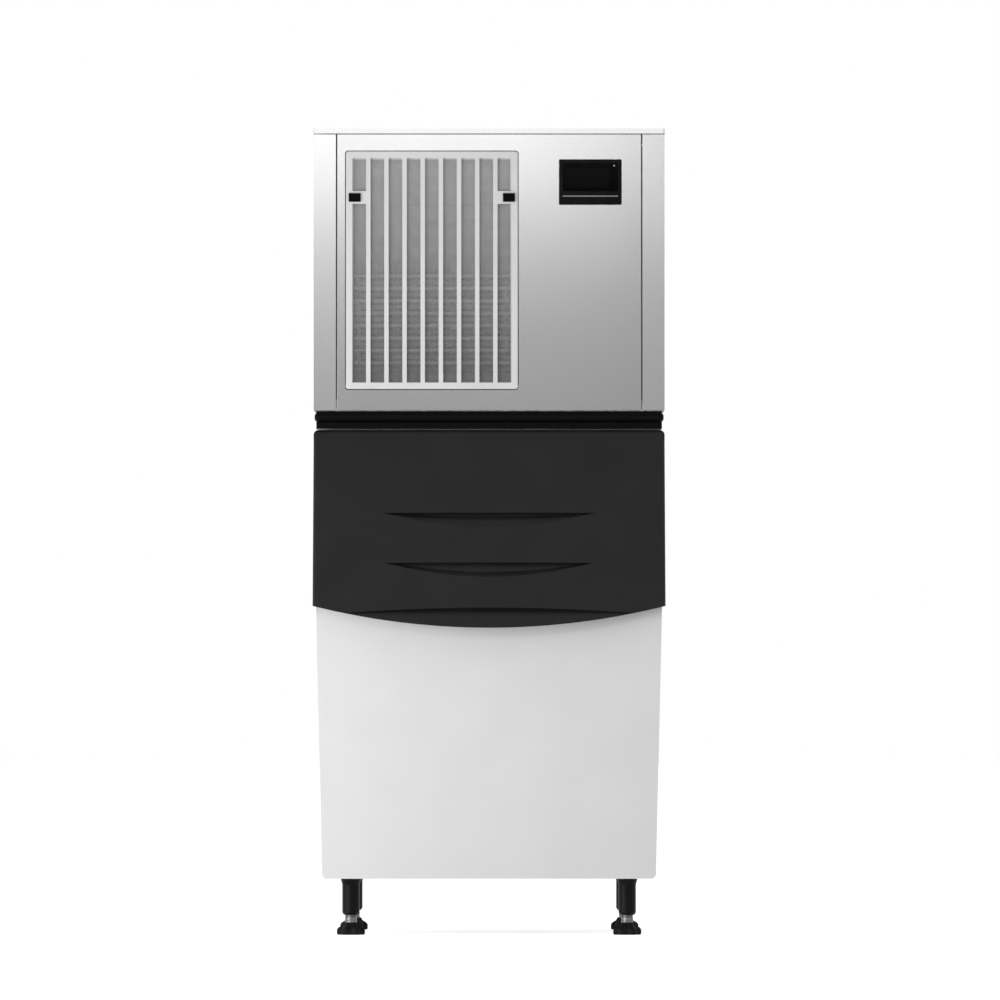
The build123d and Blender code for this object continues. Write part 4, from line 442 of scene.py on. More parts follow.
class IceMachineSheetSettings(bpy.types.PropertyGroup):
    """Sheets of the head and the bin."""

    steel_dark: StringProperty(
        name="Steel, dull", description="Colour of the dull scratches", default="#868686"
    )
    steel_light: StringProperty(
        name="Steel, bright", description="Colour of the bright scratches", default="#8B8B8B"
    )
    paint_dark: StringProperty(
        name="Paint, low", description="Darker colour of the bin's paint", default="#D5D5D5"
    )
    paint_light: StringProperty(
        name="Paint, high", description="Lighter colour of the bin's paint", default="#D8D8D8"
    )


class IceMachineNetSettings(bpy.types.PropertyGroup):
    """Fine net of the air filter."""

    pitch: FloatProperty(
        name="Spacing",
        description="Distance from strand to strand",
        default=2.3 * MM,
        min=MM,
        unit="LENGTH",
    )
    strand: FloatProperty(
        name="Strand",
        description="Width of a strand",
        default=0.9 * MM,
        min=0.1 * MM,
        unit="LENGTH",
    )
    hem: FloatProperty(
        name="Hem", description="Width of the flat hem", default=3 * MM, min=MM, unit="LENGTH"
    )


class IceMachineCoilSettings(bpy.types.PropertyGroup):
    """Condenser behind the filter."""

    fin_pitch: FloatProperty(
        name="Fin spacing",
        description="Distance from fin to fin",
        default=3.0 * MM,
        min=MM,
        unit="LENGTH",
    )
    fin: FloatProperty(
        name="Fin", description="Thickness of a fin", default=0.5 * MM, min=0.1 * MM, unit="LENGTH"
    )
    tube_pitch: FloatProperty(
        name="Tube spacing",
        description="Distance from tube to tube in a row",
        default=27 * MM,
        min=MM,
        unit="LENGTH",
    )


class IceMachineStageSettings(bpy.types.PropertyGroup):
    """Camera, floor and lamps."""

    distance: FloatProperty(
        name="Camera distance", description="From the head's front", default=30.0, unit="LENGTH"
    )
    height: FloatProperty(
        name="Camera height", description="Above the floor", default=0.55, unit="LENGTH"
    )
    aside: FloatProperty(
        name="Camera aside",
        description="Right of the machine's middle",
        default=0.0236,
        unit="LENGTH",
    )
    aim: FloatProperty(
        name="Aim height",
        description="Where the camera points on the plane of the head's front",
        default=0.942,
        unit="LENGTH",
    )
    width: FloatProperty(
        name="Width in view", description="At the head's front", default=2.171, unit="LENGTH"
    )
    ambient: FloatProperty(
        name="Ambient", description="Strength of the room's light", default=0.58, min=0
    )
    front: FloatProperty(
        name="Front lamp",
        description="Power of the broad lamp on the left",
        default=40.0,
        unit="POWER",
    )
    head: FloatProperty(
        name="Head lamp",
        description="Power of the strip before the head",
        default=12.5,
        unit="POWER",
    )
    floor: FloatVectorProperty(
        name="Floor",
        description="Colour of the floor",
        default=(0.86, 0.86, 0.86),
        subtype="COLOR",
        size=3,
    )
    glow: FloatProperty(
        name="Floor glow",
        description="Light added where the floor is seen, so that only the shadow shows",
        default=0.64,
        min=0,
    )


class IceMachineSettings(bpy.types.PropertyGroup):
    """All settings of the ice machine."""

    sheets: PointerProperty(type=IceMachineSheetSettings)
    net: PointerProperty(type=IceMachineNetSettings)
    coil: PointerProperty(type=IceMachineCoilSettings)
    stage: PointerProperty(type=IceMachineStageSettings)


def settings():
    """This scene's settings."""
    return bpy.context.scene.ice_machine


# Operators


class ICEMACHINE_OT_outer_sheets(bpy.types.Operator):
    """Finish the head's stainless sheets, the bin's skin and the black mouldings."""

    bl_idname = "ice_machine.outer_sheets"
    bl_label = "Outer Sheets"

    def execute(self, context):
        look = settings().sheets
        steel = brushed_stainless(
            "brushed_stainless_sheet", look.steel_dark, look.steel_light, "z", 0.205, 0.225
        )
        cover(steel, "head_front_panel", "head_back_panel")
        # The side sheets are a slightly lighter copy of the same stainless: painted light for their
        # better-lit front edges.
        side = brushed_stainless("brushed_stainless_side", "#8D8D8D", "#929292", "z", 0.21, 0.23)
        cover(side, "head_left_panel", "head_right_panel")
        # The lid is a much paler copy of the same stainless, a painted highlight for the bright
        # light on the top and its lip; its rougher finish spreads it into an even strip.
        lid = brushed_stainless("blasted_stainless_lid", "#CFCFCF", "#D4D4D4", "x", 0.45, 0.49)
        cover(lid, "head_top_panel")
        skin = powder_coat(
            "satin_powder_coated_steel", look.paint_dark, look.paint_light, 0.4, 0.45
        )
        cover(skin, "bin_shell")
        door = grained_moulding(
            "grained_black_abs", "#131315", "#19191B", 0.42, 0.5, Specular_IOR_Level=0.2
        )
        cover(door, "door_shell")
        # The seat is black moulding made near pure black: partly its own colour, partly painted
        # shade so that its undercut reads as deep shadow.
        seat = grained_moulding(
            "satin_black_abs", "#020203", "#040405", 0.3, 0.36, 0.8, 0.015, Specular_IOR_Level=0.05
        )
        cover(seat, "bin_top_frame")
        return {"FINISHED"}


class ICEMACHINE_OT_bin_insides(bpy.types.Operator):
    """Finish the bin's and the door's liners, foam, seal, hinges and drain."""

    bl_idname = "ice_machine.bin_insides"
    bl_label = "Bin Insides"

    def execute(self, context):
        liner = smooth_moulding("moulded_white_polyethylene", "#DCE0E2", "#E8EBEC", 0.3, 0.42)
        cover(liner, "bin_liner", "door_liner")
        cover(rigid_foam("poured_polyurethane_foam"), "bin_insulation", "door_foam")
        cover(soft_rubber("extruded_seal_rubber", "#232324", "#343435"), "opening_gasket")
        zinc = bare_metal("zinc_plated_steel", "#9FA2A4", "#C3C5C6", 0.28, 0.42, 12)
        cover(zinc, "door_hinge_plates", "leg_sockets")
        pipe = smooth_moulding("grey_drain_pvc", "#8C8E90", "#9B9DA0", 0.35, 0.5)
        cover(pipe, "bin_drain_fitting", "head_drain_fitting")
        return {"FINISHED"}


class ICEMACHINE_OT_head_insides(bpy.types.Operator):
    """Finish the frame, the refrigeration parts and the ice-making parts inside the head."""

    bl_idname = "ice_machine.head_insides"
    bl_label = "Head Insides"

    def execute(self, context):
        cover(galvanised("galvanised_sheet", "#8D9194", "#B4B8BA"), "head_base", "head_frame_posts")
        cover(galvanised("galvanised_shroud", "#6F7275", "#7C7F82"), "fan_shroud")
        wall = galvanised("galvanised_wall", "#9A9EA1", "#BEC2C4")
        cover(wall, "compartment_wall", "fan_bracket")
        cover(grained_moulding("grey_case_abs", "#565A5D", "#62666A", 0.45, 0.6), "control_box")
        cover(grained_moulding("black_fan_nylon", "#18181A", "#222225", 0.4, 0.55), "fan_blades")
        enamel = powder_coat(
            "black_enamel", "#0F0F11", "#161618", 0.18, 0.3, Coat_Weight=0.5, Coat_Roughness=0.15
        )
        cover(enamel, "fan_motor", "compressor")
        cover(soft_rubber("moulded_mount_rubber", "#1B1B1C", "#2A2A2B"), "compressor_grommets")
        copper = bare_metal("drawn_copper_tube", "#A9673F", "#CF8E68", 0.22, 0.4, 14)
        cover(copper, "discharge_line", "liquid_line", "suction_line")
        nickel = bare_metal("nickel_plated_copper", "#B9BAB6", "#D6D6D2", 0.14, 0.26, 20)
        cover(nickel, "evaporator")
        acetal = smooth_moulding("white_acetal", "#DEDFDF", "#EDEEEE", 0.3, 0.4)
        cover(acetal, "evaporator_frame", "float_valve")
        clear = smooth_moulding(
            "clouded_polypropylene", "#DFE6EA", "#EEF3F5", 0.3, 0.45, Transmission_Weight=0.35
        )
        cover(clear, "water_curtain", "distributor_tube", "pump_tube", "inlet_tube")
        trough = smooth_moulding("white_trough_abs", "#D3D7DA", "#E2E5E7", 0.28, 0.4)
        cover(trough, "water_trough", "float_arm")
        cover(grained_moulding("grey_pump_case", "#3C3E41", "#484A4D", 0.4, 0.55), "water_pump")
        brass = bare_metal("turned_brass", "#A98442", "#D0AC66", 0.2, 0.34, 10, (1, 12, 1))
        cover(brass, "water_inlet_fitting")
        cover(smooth_moulding("black_gland_nylon", "#141415", "#1D1D1F", 0.35, 0.5), "cable_gland")
        clip = bare_metal("spring_steel_clip", "#8F9294", "#B2B4B5", 0.3, 0.45)
        cover(clip, "filter_hinge_clips")
        return {"FINISHED"}


class ICEMACHINE_OT_filter_frame(bpy.types.Operator):
    """Finish the filter's frame and its two latches."""

    bl_idname = "ice_machine.filter_frame"
    bl_label = "Filter Frame"

    def execute(self, context):
        pale = grained_moulding("pale_grained_abs", "#D2D2D1", "#D8D8D7", 0.36, 0.46, 0.9, 0.012)
        cover(pale, "filter_frame")
        nylon = ("black_latch_nylon", "#020203", "#040405")
        latch = grained_moulding(*nylon, 0.36, 0.48, 0.8, 0.01, Specular_IOR_Level=0.04)
        cover(latch, "filter_latch_left", "filter_latch_right")
        return {"FINISHED"}


class ICEMACHINE_OT_filter_net(bpy.types.Operator):
    """Weave the filter's net: upright strands over level ones in a hem, clear of the latches."""

    bl_idname = "ice_machine.filter_net"
    bl_label = "Filter Net"

    DEPTH = 0.25 * MM  # how far inside the net's face a strand's middle lies
    FLATTENED = 0.5  # share of its thickness that a pressed strand keeps
    HEM_INSET = 0.1 * MM  # how far inside the net's faces the hem lies

    def execute(self, context):
        net = settings().net
        low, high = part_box("filter_mesh")
        latch_low, latch_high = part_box("filter_latch_left")
        latch_z = (latch_low.z + latch_high.z) / 2
        # A notch beside each latch leaves its plate room.
        notch_width, half_notch = 32 * MM, 11 * MM
        inner_left, inner_right = low.x + net.hem, high.x - net.hem
        notch_low, notch_high = latch_z - half_notch - net.hem, latch_z + half_notch + net.hem
        left_zone = low.x + notch_width + net.hem
        right_zone = high.x - notch_width - net.hem
        zones = [
            (inner_left, left_zone, low.z, notch_low),
            (inner_left, left_zone, notch_high, high.z),
            (left_zone, right_zone, low.z, high.z),
            (right_zone, inner_right, low.z, notch_low),
            (right_zone, inner_right, notch_high, high.z),
        ]
        parts = [self.uprights(net, low.y, *zone) for zone in zones]
        parts.append(self.levels(net, high.y, low.x, high.x, low.z, notch_low))
        parts.append(self.levels(net, high.y, left_zone, right_zone, notch_low, notch_high))
        parts.append(self.levels(net, high.y, low.x, high.x, notch_high, high.z))
        parts.append(self.hem(low, high, low, high, net.hem))
        for left, right in ((low.x, left_zone), (right_zone, high.x)):
            start = Vector((left, low.y, notch_low))
            end = Vector((right, high.y, notch_high))
            parts.append(self.hem(start, end, low, high, net.hem))
        piece = united(parts, "filter_net")
        # Painted shade: dark grey strands at the net's bottom, pale grey at its top.
        strand = woven_net("woven_grey_polypropylene", "#6C6C6C", "#C8C8C8", low.z, high.z)
        done(piece, "filter", strand, ["filter_mesh"])
        return {"FINISHED"}

    def uprights(self, net, front, left, right, bottom, top):
        """Row of upright strands."""
        count = max(1, int((right - left) / net.pitch))
        first = left + (right - left - (count - 1) * net.pitch) / 2
        y = front + self.DEPTH
        strand = rod((first, y, bottom), top - bottom, net.strand / 2, "z", 6)
        squash(strand, (1, self.FLATTENED, 1), (first, y, (bottom + top) / 2))
        return repeat(strand, count, (net.pitch, 0, 0))

    def levels(self, net, back, left, right, bottom, top):
        """Row of level strands behind the upright ones."""
        count = max(1, int((top - bottom) / net.pitch))
        first = bottom + (top - bottom - (count - 1) * net.pitch) / 2
        y = back - self.DEPTH
        strand = rod((left, y, first), right - left, net.strand / 2, "x", 6)
        squash(strand, (1, self.FLATTENED, 1), ((left + right) / 2, y, first))
        return repeat(strand, count, (0, 0, net.pitch))

    def hem(self, start, end, low, high, width):
        """Flat ring: both faces of a thin plate are inset and then bridged into a hole."""
        front, back = low.y + self.HEM_INSET, high.y - self.HEM_INSET
        ring = bar_between((start.x, front, start.z), (end.x, back, end.z))
        for toward in (-1, 1):
            choose(ring, lambda face: face.normal.y * toward > 0.9)
            bpy.ops.mesh.inset(thickness=width)
        leave()
        span = min(end.x - start.x, end.z - start.z) / 2
        centre = (start + end) / 2
        choose(
            ring,
            lambda face: abs(face.normal.y) > 0.9
            and (face.calc_center_median() - centre).xz.length < 0.1 * span,
        )
        bpy.ops.mesh.bridge_edge_loops()
        leave()
        return soften(ring, 0.15 * MM, 1)


class ICEMACHINE_OT_condenser(bpy.types.Operator):
    """Build the condenser: fins on two staggered rows of tubes, end plates and return bends."""

    bl_idname = "ice_machine.condenser"
    bl_label = "Condenser"

    def execute(self, context):
        coil = settings().coil
        low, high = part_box("condenser")
        radius = 4.76 * MM  # of a 3/8 inch tube
        plate_sheet = 3 * MM
        fin_height = 234 * MM
        below_edge, inside_edge = 6 * MM, 4 * MM  # from the end plates' edges to the fins
        first_row, last_row = 20 * MM, 10 * MM  # least room below and above the front row of tubes
        reach = coil.tube_pitch / 2 + radius + plate_sheet
        left, right = low.x + reach, high.x - reach
        top = high.z - below_edge
        bottom = top - fin_height
        front, back = low.y + inside_edge, high.y - inside_edge
        count = int((right - left) / coil.fin_pitch)
        fin = bar_between((left, front, bottom), (left + coil.fin, back, top))
        # Both upright edges are thinned to half, as on a sheared fin.
        choose(fin, lambda face: abs(face.normal.y) > 0.9)
        middle = (left + coil.fin / 2, front, bottom)
        bpy.ops.transform.resize(value=(0.5, 1, 1), center_override=middle)
        leave()
        fins = repeat(fin, count, ((right - left - coil.fin) / (count - 1), 0, 0))
        fins.name = "condenser_fins"
        aluminium = bare_metal("rolled_fin_aluminium", "#8E9296", "#B4B8BB", 0.3, 0.45, 9)
        done(fins, "cabinet", aluminium)
        tubes = []
        pitch = coil.tube_pitch
        depth = (back - front) / 4
        rows = int((top - bottom - first_row - last_row) / pitch) + 1
        first_z = bottom + first_row
        starts = [(front + depth, first_z), (back - depth, first_z - pitch / 2)]
        for y, first in starts:
            for number in range(rows):
                tubes.append(rod((left, y, first + number * pitch), right - left, radius, "x", 12))
        straights = united(tubes, "condenser_tubes")
        copper = bare_metal("tinned_copper_tube", "#A8A29A", "#C9C4BC", 0.25, 0.4, 12)
        done(straights, "cabinet", copper)
        ends = []
        rim, pressed = 2 * MM, 0.6 * MM
        for side, x in ((-1, left), (1, right)):
            plate_low, plate_high = sorted((x, x + side * plate_sheet))
            plate = bar_between((plate_low, low.y, low.z), (plate_high, high.y, high.z))
            # A shallow pressed field leaves a rim round the plate.
            choose(plate, lambda face: face.normal.x * side > 0.9)
            bpy.ops.mesh.inset(thickness=rim)
            bpy.ops.transform.translate(value=(-side * pressed, 0, 0))
            leave()
            ends.append(soften(plate, 0.4 * MM))
        plates = united(ends, "condenser_end_plates")
        done(plates, "cabinet", bpy.data.materials["galvanised_sheet"], ["condenser"])
        bends = []
        sunk = 0.15 * plate_sheet  # how far a bend starts below the plate's face
        for side, x in ((-1, left), (1, right)):
            mouth = x + side * (plate_sheet - sunk)
            for y, first in starts:
                for number in range(0 if side < 0 else 1, rows - 1, 2):
                    z = first + number * pitch
                    bends.append(self.bend(mouth, y, z, pitch / 2, radius, side))
        returns = united(bends, "condenser_bends")
        done(returns, "cabinet", copper)
        return {"FINISHED"}

    def bend(self, x, y, z, spread, radius, side):
        """Half ring of tube, spun from a circle, that leads one tube back into the next."""
        begin()
        bpy.ops.mesh.primitive_circle_add(
            vertices=12, radius=radius, location=(x, y, z), rotation=(0, math.pi / 2, 0)
        )
        ring = settle()
        choose(ring, lambda vert: True, "verts")
        bpy.ops.mesh.spin(steps=10, angle=math.pi, center=(x, y, z + spread), axis=(0, -side, 0))
        bpy.ops.mesh.select_all(action="SELECT")
        bpy.ops.mesh.normals_make_consistent(inside=False)
        leave()
        return ring


class ICEMACHINE_OT_display(bpy.types.Operator):
    """Finish the display and add its plain rule and small lamp."""

    bl_idname = "ice_machine.display"
    bl_label = "Display"

    def execute(self, context):
        bezel_low, bezel_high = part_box("control_bezel")
        low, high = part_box("control_window")
        bezel = smooth_moulding(
            "gloss_black_bezel", "#020203", "#040405", 0.16, 0.24, Specular_IOR_Level=0.04
        )
        cover(bezel, "control_bezel")
        left, right, below, above = 4 * MM, 18 * MM, 8 * MM, 12 * MM  # the screen's margins
        screen_low = Vector((low.x + left, 0, low.z + below))
        screen_high = Vector((high.x - right, 0, high.z - above))
        cover(screen_glass("dark_display_glass", screen_low, screen_high), "control_window")
        self.rule(bezel_low, bezel_high)
        lamp_inset, lamp_drop = 16.5 * MM, 6 * MM
        self.lamp(bezel_high.x - lamp_inset, low.y, high.z - lamp_drop)
        return {"FINISHED"}

    def rule(self, low, high):
        """Level light guide across the bezel, its front face inset and raised a little."""
        height, half_width, margin = 19 * MM, 1.3 * MM, 8.2 * MM
        front, back = low.y + 0.25 * MM, low.y + 0.85 * MM
        edge, rise = 0.35 * MM, 0.12 * MM
        z = low.z + height
        piece = bar_between(
            (low.x + margin, front, z - half_width), (high.x - margin, back, z + half_width)
        )
        choose(piece, lambda face: face.normal.y < -0.9)
        bpy.ops.mesh.inset(thickness=edge)
        bpy.ops.transform.translate(value=(0, -rise, 0))
        leave()
        piece.name = "display_rule"
        grey = smooth_moulding("grey_light_guide", "#747577", "#7E7F81", 0.3, 0.4)
        done(piece, "cabinet", grey)

    def lamp(self, x, y, z):
        """Lens of the small lamp: a flattened ball half sunk in the screen."""
        begin()
        bpy.ops.mesh.primitive_uv_sphere_add(
            segments=24, ring_count=12, radius=2 * MM, location=(x, y, z)
        )
        lens = settle("display_lamp")
        squash(lens, (1, 0.4, 1), (x, y, z))
        frosted = smooth_moulding("frosted_lamp_lens", "#8C8E90", "#9A9C9E", 0.25, 0.35)
        done(lens, "cabinet", frosted)


class ICEMACHINE_OT_feet(bpy.types.Operator):
    """Finish the legs and build each foot as a lobed rubber pad with a grooved metal stem."""

    bl_idname = "ice_machine.feet"
    bl_label = "Legs and Feet"

    BODIES = {
        "front_left": "foot_fl",
        "front_right": "foot_fr",
        "rear_left": "foot_rl",
        "rear_right": "foot_rr",
    }
    # Lengths here are in millimetres.
    PAD_RADIUS, PAD_SIDES, LOBES = 30.5, 72, 6
    TIP, HOLLOW = 0.93, 0.2  # shares of the radius: at a lobe's tip, and lost between two lobes
    # Rise and share of the radius of each ring, from the floor up to the collar.
    PAD_RINGS = (
        (1.5, 0.98),
        (2.5, 1.0),
        (6, 1.0),
        (3, 0.97),
        (2.5, 0.9),
        (2.5, 0.78),
        (2, 0.66),
        (2, 0.6),
        (3, 0.56),
        (1.9, 0.5),
        (0, 0.43),
    )
    STEM_START, STEM_RADIUS = 26.5, 13
    STEM_GAP = 3  # at least this far below the top the thread ends
    # Rise and radius of each ring: flange, groove, shoulder and neck, then one turn of the thread.
    STEM_RINGS = ((3.5, 13), (0.5, 12), (1.2, 12), (0.5, 13), (5, 13), (0.5, 12.2))
    THREAD = ((0.6, 12.2), (0.6, 12.9), (0.3, 12.9), (0.6, 12.2))

    def execute(self, context):
        enamel = powder_coat(
            "black_leg_enamel", "#030303", "#060606", 0.34, 0.42, Specular_IOR_Level=0.1
        )
        cover(enamel, *("leg_" + corner for corner in self.BODIES))
        rubber = soft_rubber("moulded_foot_rubber", "#050505", "#0A0A0A", Specular_IOR_Level=0.15)
        # The stems' zinc is far darker than the hinges': a painted dark reflection of the black leg
        # above them.
        zinc = bare_metal("drawn_zinc_steel", "#5A5B5C", "#7E7F80", 0.2, 0.34, 5)
        low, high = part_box("foot_front_left")
        centre = (low + high) / 2
        pad = self.pad(centre.x, centre.y)
        stem = self.stem(centre.x, centre.y, high.z)
        for corner, body in self.BODIES.items():
            node = "foot_" + corner
            place_low, place_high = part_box(node)
            step = (place_low + place_high) / 2 - centre
            step.z = 0
            foot = copied(pad, "pad_" + corner, step)
            done(foot, body, rubber, [node], 40)
            shaft = copied(stem, "stem_" + corner, step)
            done(shaft, body_of(foot)[0], zinc)
        bpy.data.objects.remove(pad)
        bpy.data.objects.remove(stem)
        return {"FINISHED"}

    def pad(self, x, y):
        """Disc whose rim is pulled in between six lobes, with a rounded top and a collar."""
        begin()
        bpy.ops.mesh.primitive_circle_add(
            vertices=self.PAD_SIDES,
            radius=self.PAD_RADIUS * MM,
            location=(x, y, 0),
            fill_type="NGON",
        )
        disc = settle("pad")
        corners = self.PAD_SIDES // self.LOBES  # from one lobe's tip to the next

        def count(vert):
            """Number of a rim corner, counted round the pad."""
            angle = math.atan2(vert.co.y - y, vert.co.x - x)
            return round(angle * self.PAD_SIDES / (2 * math.pi))

        for step in range(corners):
            nearness = 0.5 + 0.5 * math.cos(2 * math.pi * step / corners)
            choose(disc, lambda vert: count(vert) % corners == step, "verts")
            pull = self.TIP - self.HOLLOW * (1 - nearness) ** 1.2
            bpy.ops.transform.resize(value=(pull, pull, 1), center_override=(x, y, 0))
        choose(disc, lambda face: True)
        for rise, share in self.PAD_RINGS:
            bpy.ops.mesh.extrude_region_move(TRANSFORM_OT_translate={"value": (0, 0, rise * MM)})
            mesh = bmesh.from_edit_mesh(disc.data)
            ring = [vert.co.copy() for vert in mesh.verts if vert.select]
            height = max(place.z for place in ring)
            size = max((place.xy - Vector((x, y))).length for place in ring)
            factor = share * self.PAD_RADIUS * MM / size
            bpy.ops.transform.resize(value=(factor, factor, 1), center_override=(x, y, height))
        leave()
        self.close(disc)
        return disc

    def stem(self, x, y, top):
        """Round shaft with two grooves and a thread up into the leg."""
        start, last = self.STEM_START, self.STEM_RADIUS
        begin()
        bpy.ops.mesh.primitive_circle_add(
            vertices=48, radius=last * MM, location=(x, y, start * MM), fill_type="NGON"
        )
        shaft = settle("stem")
        rings = list(self.STEM_RINGS)
        while sum(rise for rise, size in rings) < top / MM - start - self.STEM_GAP:
            rings += self.THREAD
        choose(shaft, lambda face: True)
        height = start
        for rise, size in rings:
            bpy.ops.mesh.extrude_region_move(TRANSFORM_OT_translate={"value": (0, 0, rise * MM)})
            height += rise
            factor = size / last
            middle = (x, y, height * MM)
            bpy.ops.transform.resize(value=(factor, factor, 1), center_override=middle)
            last = size
        leave()
        self.close(shaft)
        return shaft

    def close(self, piece):
        """Fills the open bottom and turns every face outward."""
        choose(piece, lambda edge: edge.is_boundary, "edges")
        bpy.ops.mesh.edge_face_add()
        bpy.ops.mesh.select_all(action="SELECT")
        bpy.ops.mesh.normals_make_consistent(inside=False)
        leave()


class ICEMACHINE_OT_screws(bpy.types.Operator):
    """Build the rear screws: domed heads with a cross recess."""

    bl_idname = "ice_machine.screws"
    bl_label = "Rear Screws"

    def execute(self, context):
        low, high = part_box("panel_screws")
        radius, thickness, dome = 4.2 * MM, 2.2 * MM, 1.1 * MM
        left, right = low.x + radius, high.x - radius
        bottom, top = low.z + radius, high.z - radius
        head = rod((left, low.y, bottom), thickness, radius, "y", 32)
        soften(head, dome, 4, 50)
        # The cross recess leaves a floor behind its two arms.
        half_arm, half_slot, recess_floor = 2.1 * MM, 0.55 * MM, 0.9 * MM
        arms = []
        for half_x, half_z in ((half_arm, half_slot), (half_slot, half_arm)):
            start = (left - half_x, low.y + recess_floor, bottom - half_z)
            end = (left + half_x, high.y + MM, bottom + half_z)
            arms.append(bar_between(start, end))
        for arm in arms:
            cut_out(head, arm)
        steel = bare_metal("zinc_plated_screw", "#A9ABAD", "#CFD1D2", 0.2, 0.34, 3)
        middle = (bottom + top) / 2
        heads = []
        for side, x in (("left", left), ("right", right)):
            for level, z in (("low", bottom), ("mid", middle), ("high", top)):
                screw = copied(head, f"screw_{side}_{level}", (x - left, 0, z - bottom))
                heads.append(screw)
        bpy.data.objects.remove(head)
        for screw in heads:
            done(screw, "cabinet", steel)
        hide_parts("panel_screws")
        return {"FINISHED"}


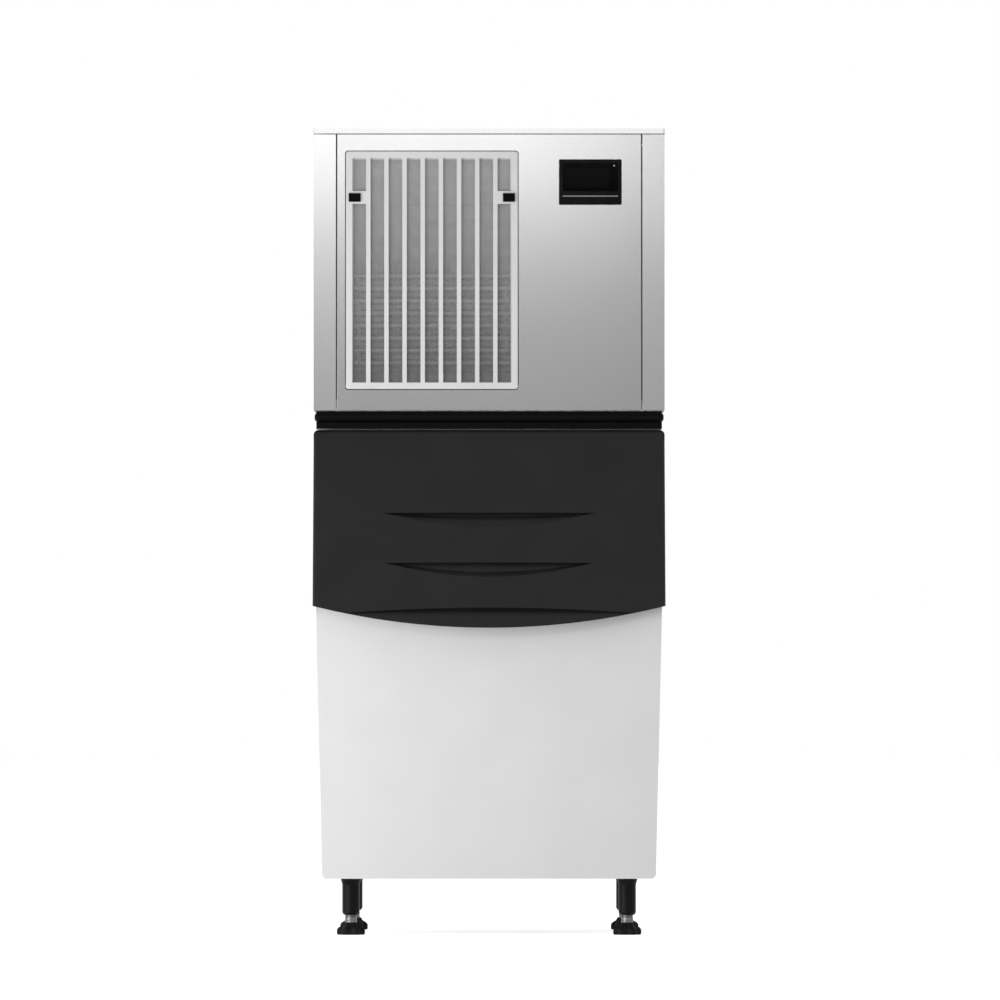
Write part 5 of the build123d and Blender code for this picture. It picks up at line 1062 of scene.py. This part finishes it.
class ICEMACHINE_OT_stage(bpy.types.Operator):
    """Lay the pale floor, set the lamps and the room's light, and place the camera."""

    bl_idname = "ice_machine.stage"
    bl_label = "Stage"

    # Place, target, and width and height of each lamp. The broad one lights the machine from the
    # left, and the strip is the bright band that the head's sheets mirror at their upper left.
    FRONT_LAMP = (-2.0, -1.9, 0.6), (-0.1, -0.35, 0.65), (2.2, 1.2)
    HEAD_LAMP = (-0.3, -4.6, 1.97), (-0.3, 0, 1.97), (1.5, 0.3)
    FLOOR_RADIUS, FLOOR_RING = 60, 50
    SENSOR = 36  # width of the camera's sensor in millimetres

    def execute(self, context):
        stage = settings().stage
        scene = context.scene
        scene.view_settings.view_transform = "Standard"
        self.floor(stage)
        self.room(scene, stage)
        self.softbox("front_lamp", *self.FRONT_LAMP, stage.front)
        self.softbox("head_lamp", *self.HEAD_LAMP, stage.head)
        self.camera(scene, stage)
        return {"FINISHED"}

    def camera(self, scene, stage):
        """Far camera with a long lens, tilted up so that every view frames the whole machine."""
        head_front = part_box("head_front_panel")[0].y
        tilt = math.atan2(stage.aim - stage.height, stage.distance)
        place = (stage.aside, head_front - stage.distance, stage.height)
        begin()
        bpy.ops.object.camera_add(location=place, rotation=(math.pi / 2 + tilt, 0, 0))
        camera = bpy.context.object
        camera.name = "camera"
        camera.data.sensor_width = self.SENSOR
        camera.data.lens = self.SENSOR * stage.distance / stage.width
        camera.data.clip_start, camera.data.clip_end = 0.1, 200
        scene.camera = camera

    def floor(self, stage):
        """Round floor that the camera sees as white, with the machine's soft shadow on it."""
        begin()
        bpy.ops.mesh.primitive_circle_add(
            vertices=96, radius=self.FLOOR_RADIUS, location=(0, 0, 0), fill_type="NGON"
        )
        floor = settle("studio_floor")
        choose(floor, lambda face: True)
        bpy.ops.mesh.inset(thickness=self.FLOOR_RING)
        leave()
        material, tree, shader, place = blank("matt_white_floor", IOR=1.45)
        grit = mottle(tree, place, 40)
        low = (*(0.97 * c for c in stage.floor), 1)
        inputs = {"Factor": grit, "A": low, "B": (*stage.floor, 1)}
        mix = add(tree, "ShaderNodeMix", inputs, data_type="RGBA")
        tree.links.new(mix.outputs["Result"], shader.inputs["Base Color"])
        polish(tree, shader, grit, 0.75, 0.85)
        glow = add(tree, "ShaderNodeEmission", {"Color": (1, 1, 1, 1)})
        inputs = {0: seen_directly(tree), 1: stage.glow}
        share = add(tree, "ShaderNodeMath", inputs, operation="MULTIPLY")
        tree.links.new(share.outputs[0], glow.inputs["Strength"])
        both = add(tree, "ShaderNodeAddShader", {0: shader.outputs[0], 1: glow.outputs[0]})
        tree.links.new(both.outputs[0], tree.nodes["Material Output"].inputs["Surface"])
        floor.data.materials.append(material)

    def room(self, scene, stage):
        """White room: even soft light on the machine, plain white behind it and in reflections."""
        world = bpy.data.worlds.new("room")
        world.use_nodes = True
        scene.world = world
        tree = world.node_tree
        ground = tree.nodes["Background"]
        span = {"Value": seen_directly(tree), "To Min": stage.ambient, "To Max": 1.0}
        level = add(tree, "ShaderNodeMapRange", span)
        ground.inputs["Color"].default_value = (1, 1, 1, 1)
        tree.links.new(level.outputs["Result"], ground.inputs["Strength"])

    def softbox(self, name, place, target, size, power):
        """Soft rectangular lamp turned to its target, which the camera itself doesn't see."""
        begin()
        way = Vector(target) - Vector(place)
        turn = way.to_track_quat("-Z", "Y").to_euler()
        bpy.ops.object.light_add(type="AREA", location=place, rotation=turn)
        lamp = bpy.context.object
        lamp.name = name
        lamp.visible_camera = False
        lamp.data.energy = power
        lamp.data.shape = "RECTANGLE"
        lamp.data.size, lamp.data.size_y = size


class ICEMACHINE_PT_panel(bpy.types.Panel):
    """Lists the settings and steps of the ice machine."""

    bl_idname = "ICEMACHINE_PT_panel"
    bl_label = "Ice Machine"
    bl_space_type = "VIEW_3D"
    bl_region_type = "UI"
    bl_category = "Ice Machine"

    def draw(self, context):
        layout = self.layout
        chosen = settings()
        for group in (chosen.sheets, chosen.net, chosen.coil, chosen.stage):
            box = layout.box()
            for name in group.bl_rna.properties.keys():
                if name not in ("rna_type", "name"):
                    box.prop(group, name)
        for step in STEPS:
            layout.operator(step.bl_idname)


SETTINGS = (
    IceMachineSheetSettings,
    IceMachineNetSettings,
    IceMachineCoilSettings,
    IceMachineStageSettings,
    IceMachineSettings,
)
STEPS = (
    ICEMACHINE_OT_outer_sheets,
    ICEMACHINE_OT_bin_insides,
    ICEMACHINE_OT_head_insides,
    ICEMACHINE_OT_filter_frame,
    ICEMACHINE_OT_filter_net,
    ICEMACHINE_OT_condenser,
    ICEMACHINE_OT_display,
    ICEMACHINE_OT_feet,
    ICEMACHINE_OT_screws,
    ICEMACHINE_OT_stage,
)


def register():
    """Adds the classes and the scene's settings."""
    for kind in (*SETTINGS, *STEPS, ICEMACHINE_PT_panel):
        bpy.utils.register_class(kind)
    bpy.types.Scene.ice_machine = PointerProperty(type=IceMachineSettings)


def unregister():
    """Takes the settings and the classes away again."""
    del bpy.types.Scene.ice_machine
    for kind in reversed((*SETTINGS, *STEPS, ICEMACHINE_PT_panel)):
        bpy.utils.unregister_class(kind)


def main():
    """Registers the add-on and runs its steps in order."""
    register()
    for step in STEPS:
        group, name = step.bl_idname.split(".")
        getattr(getattr(bpy.ops, group), name)()


if __name__ == "__main__":
    main()
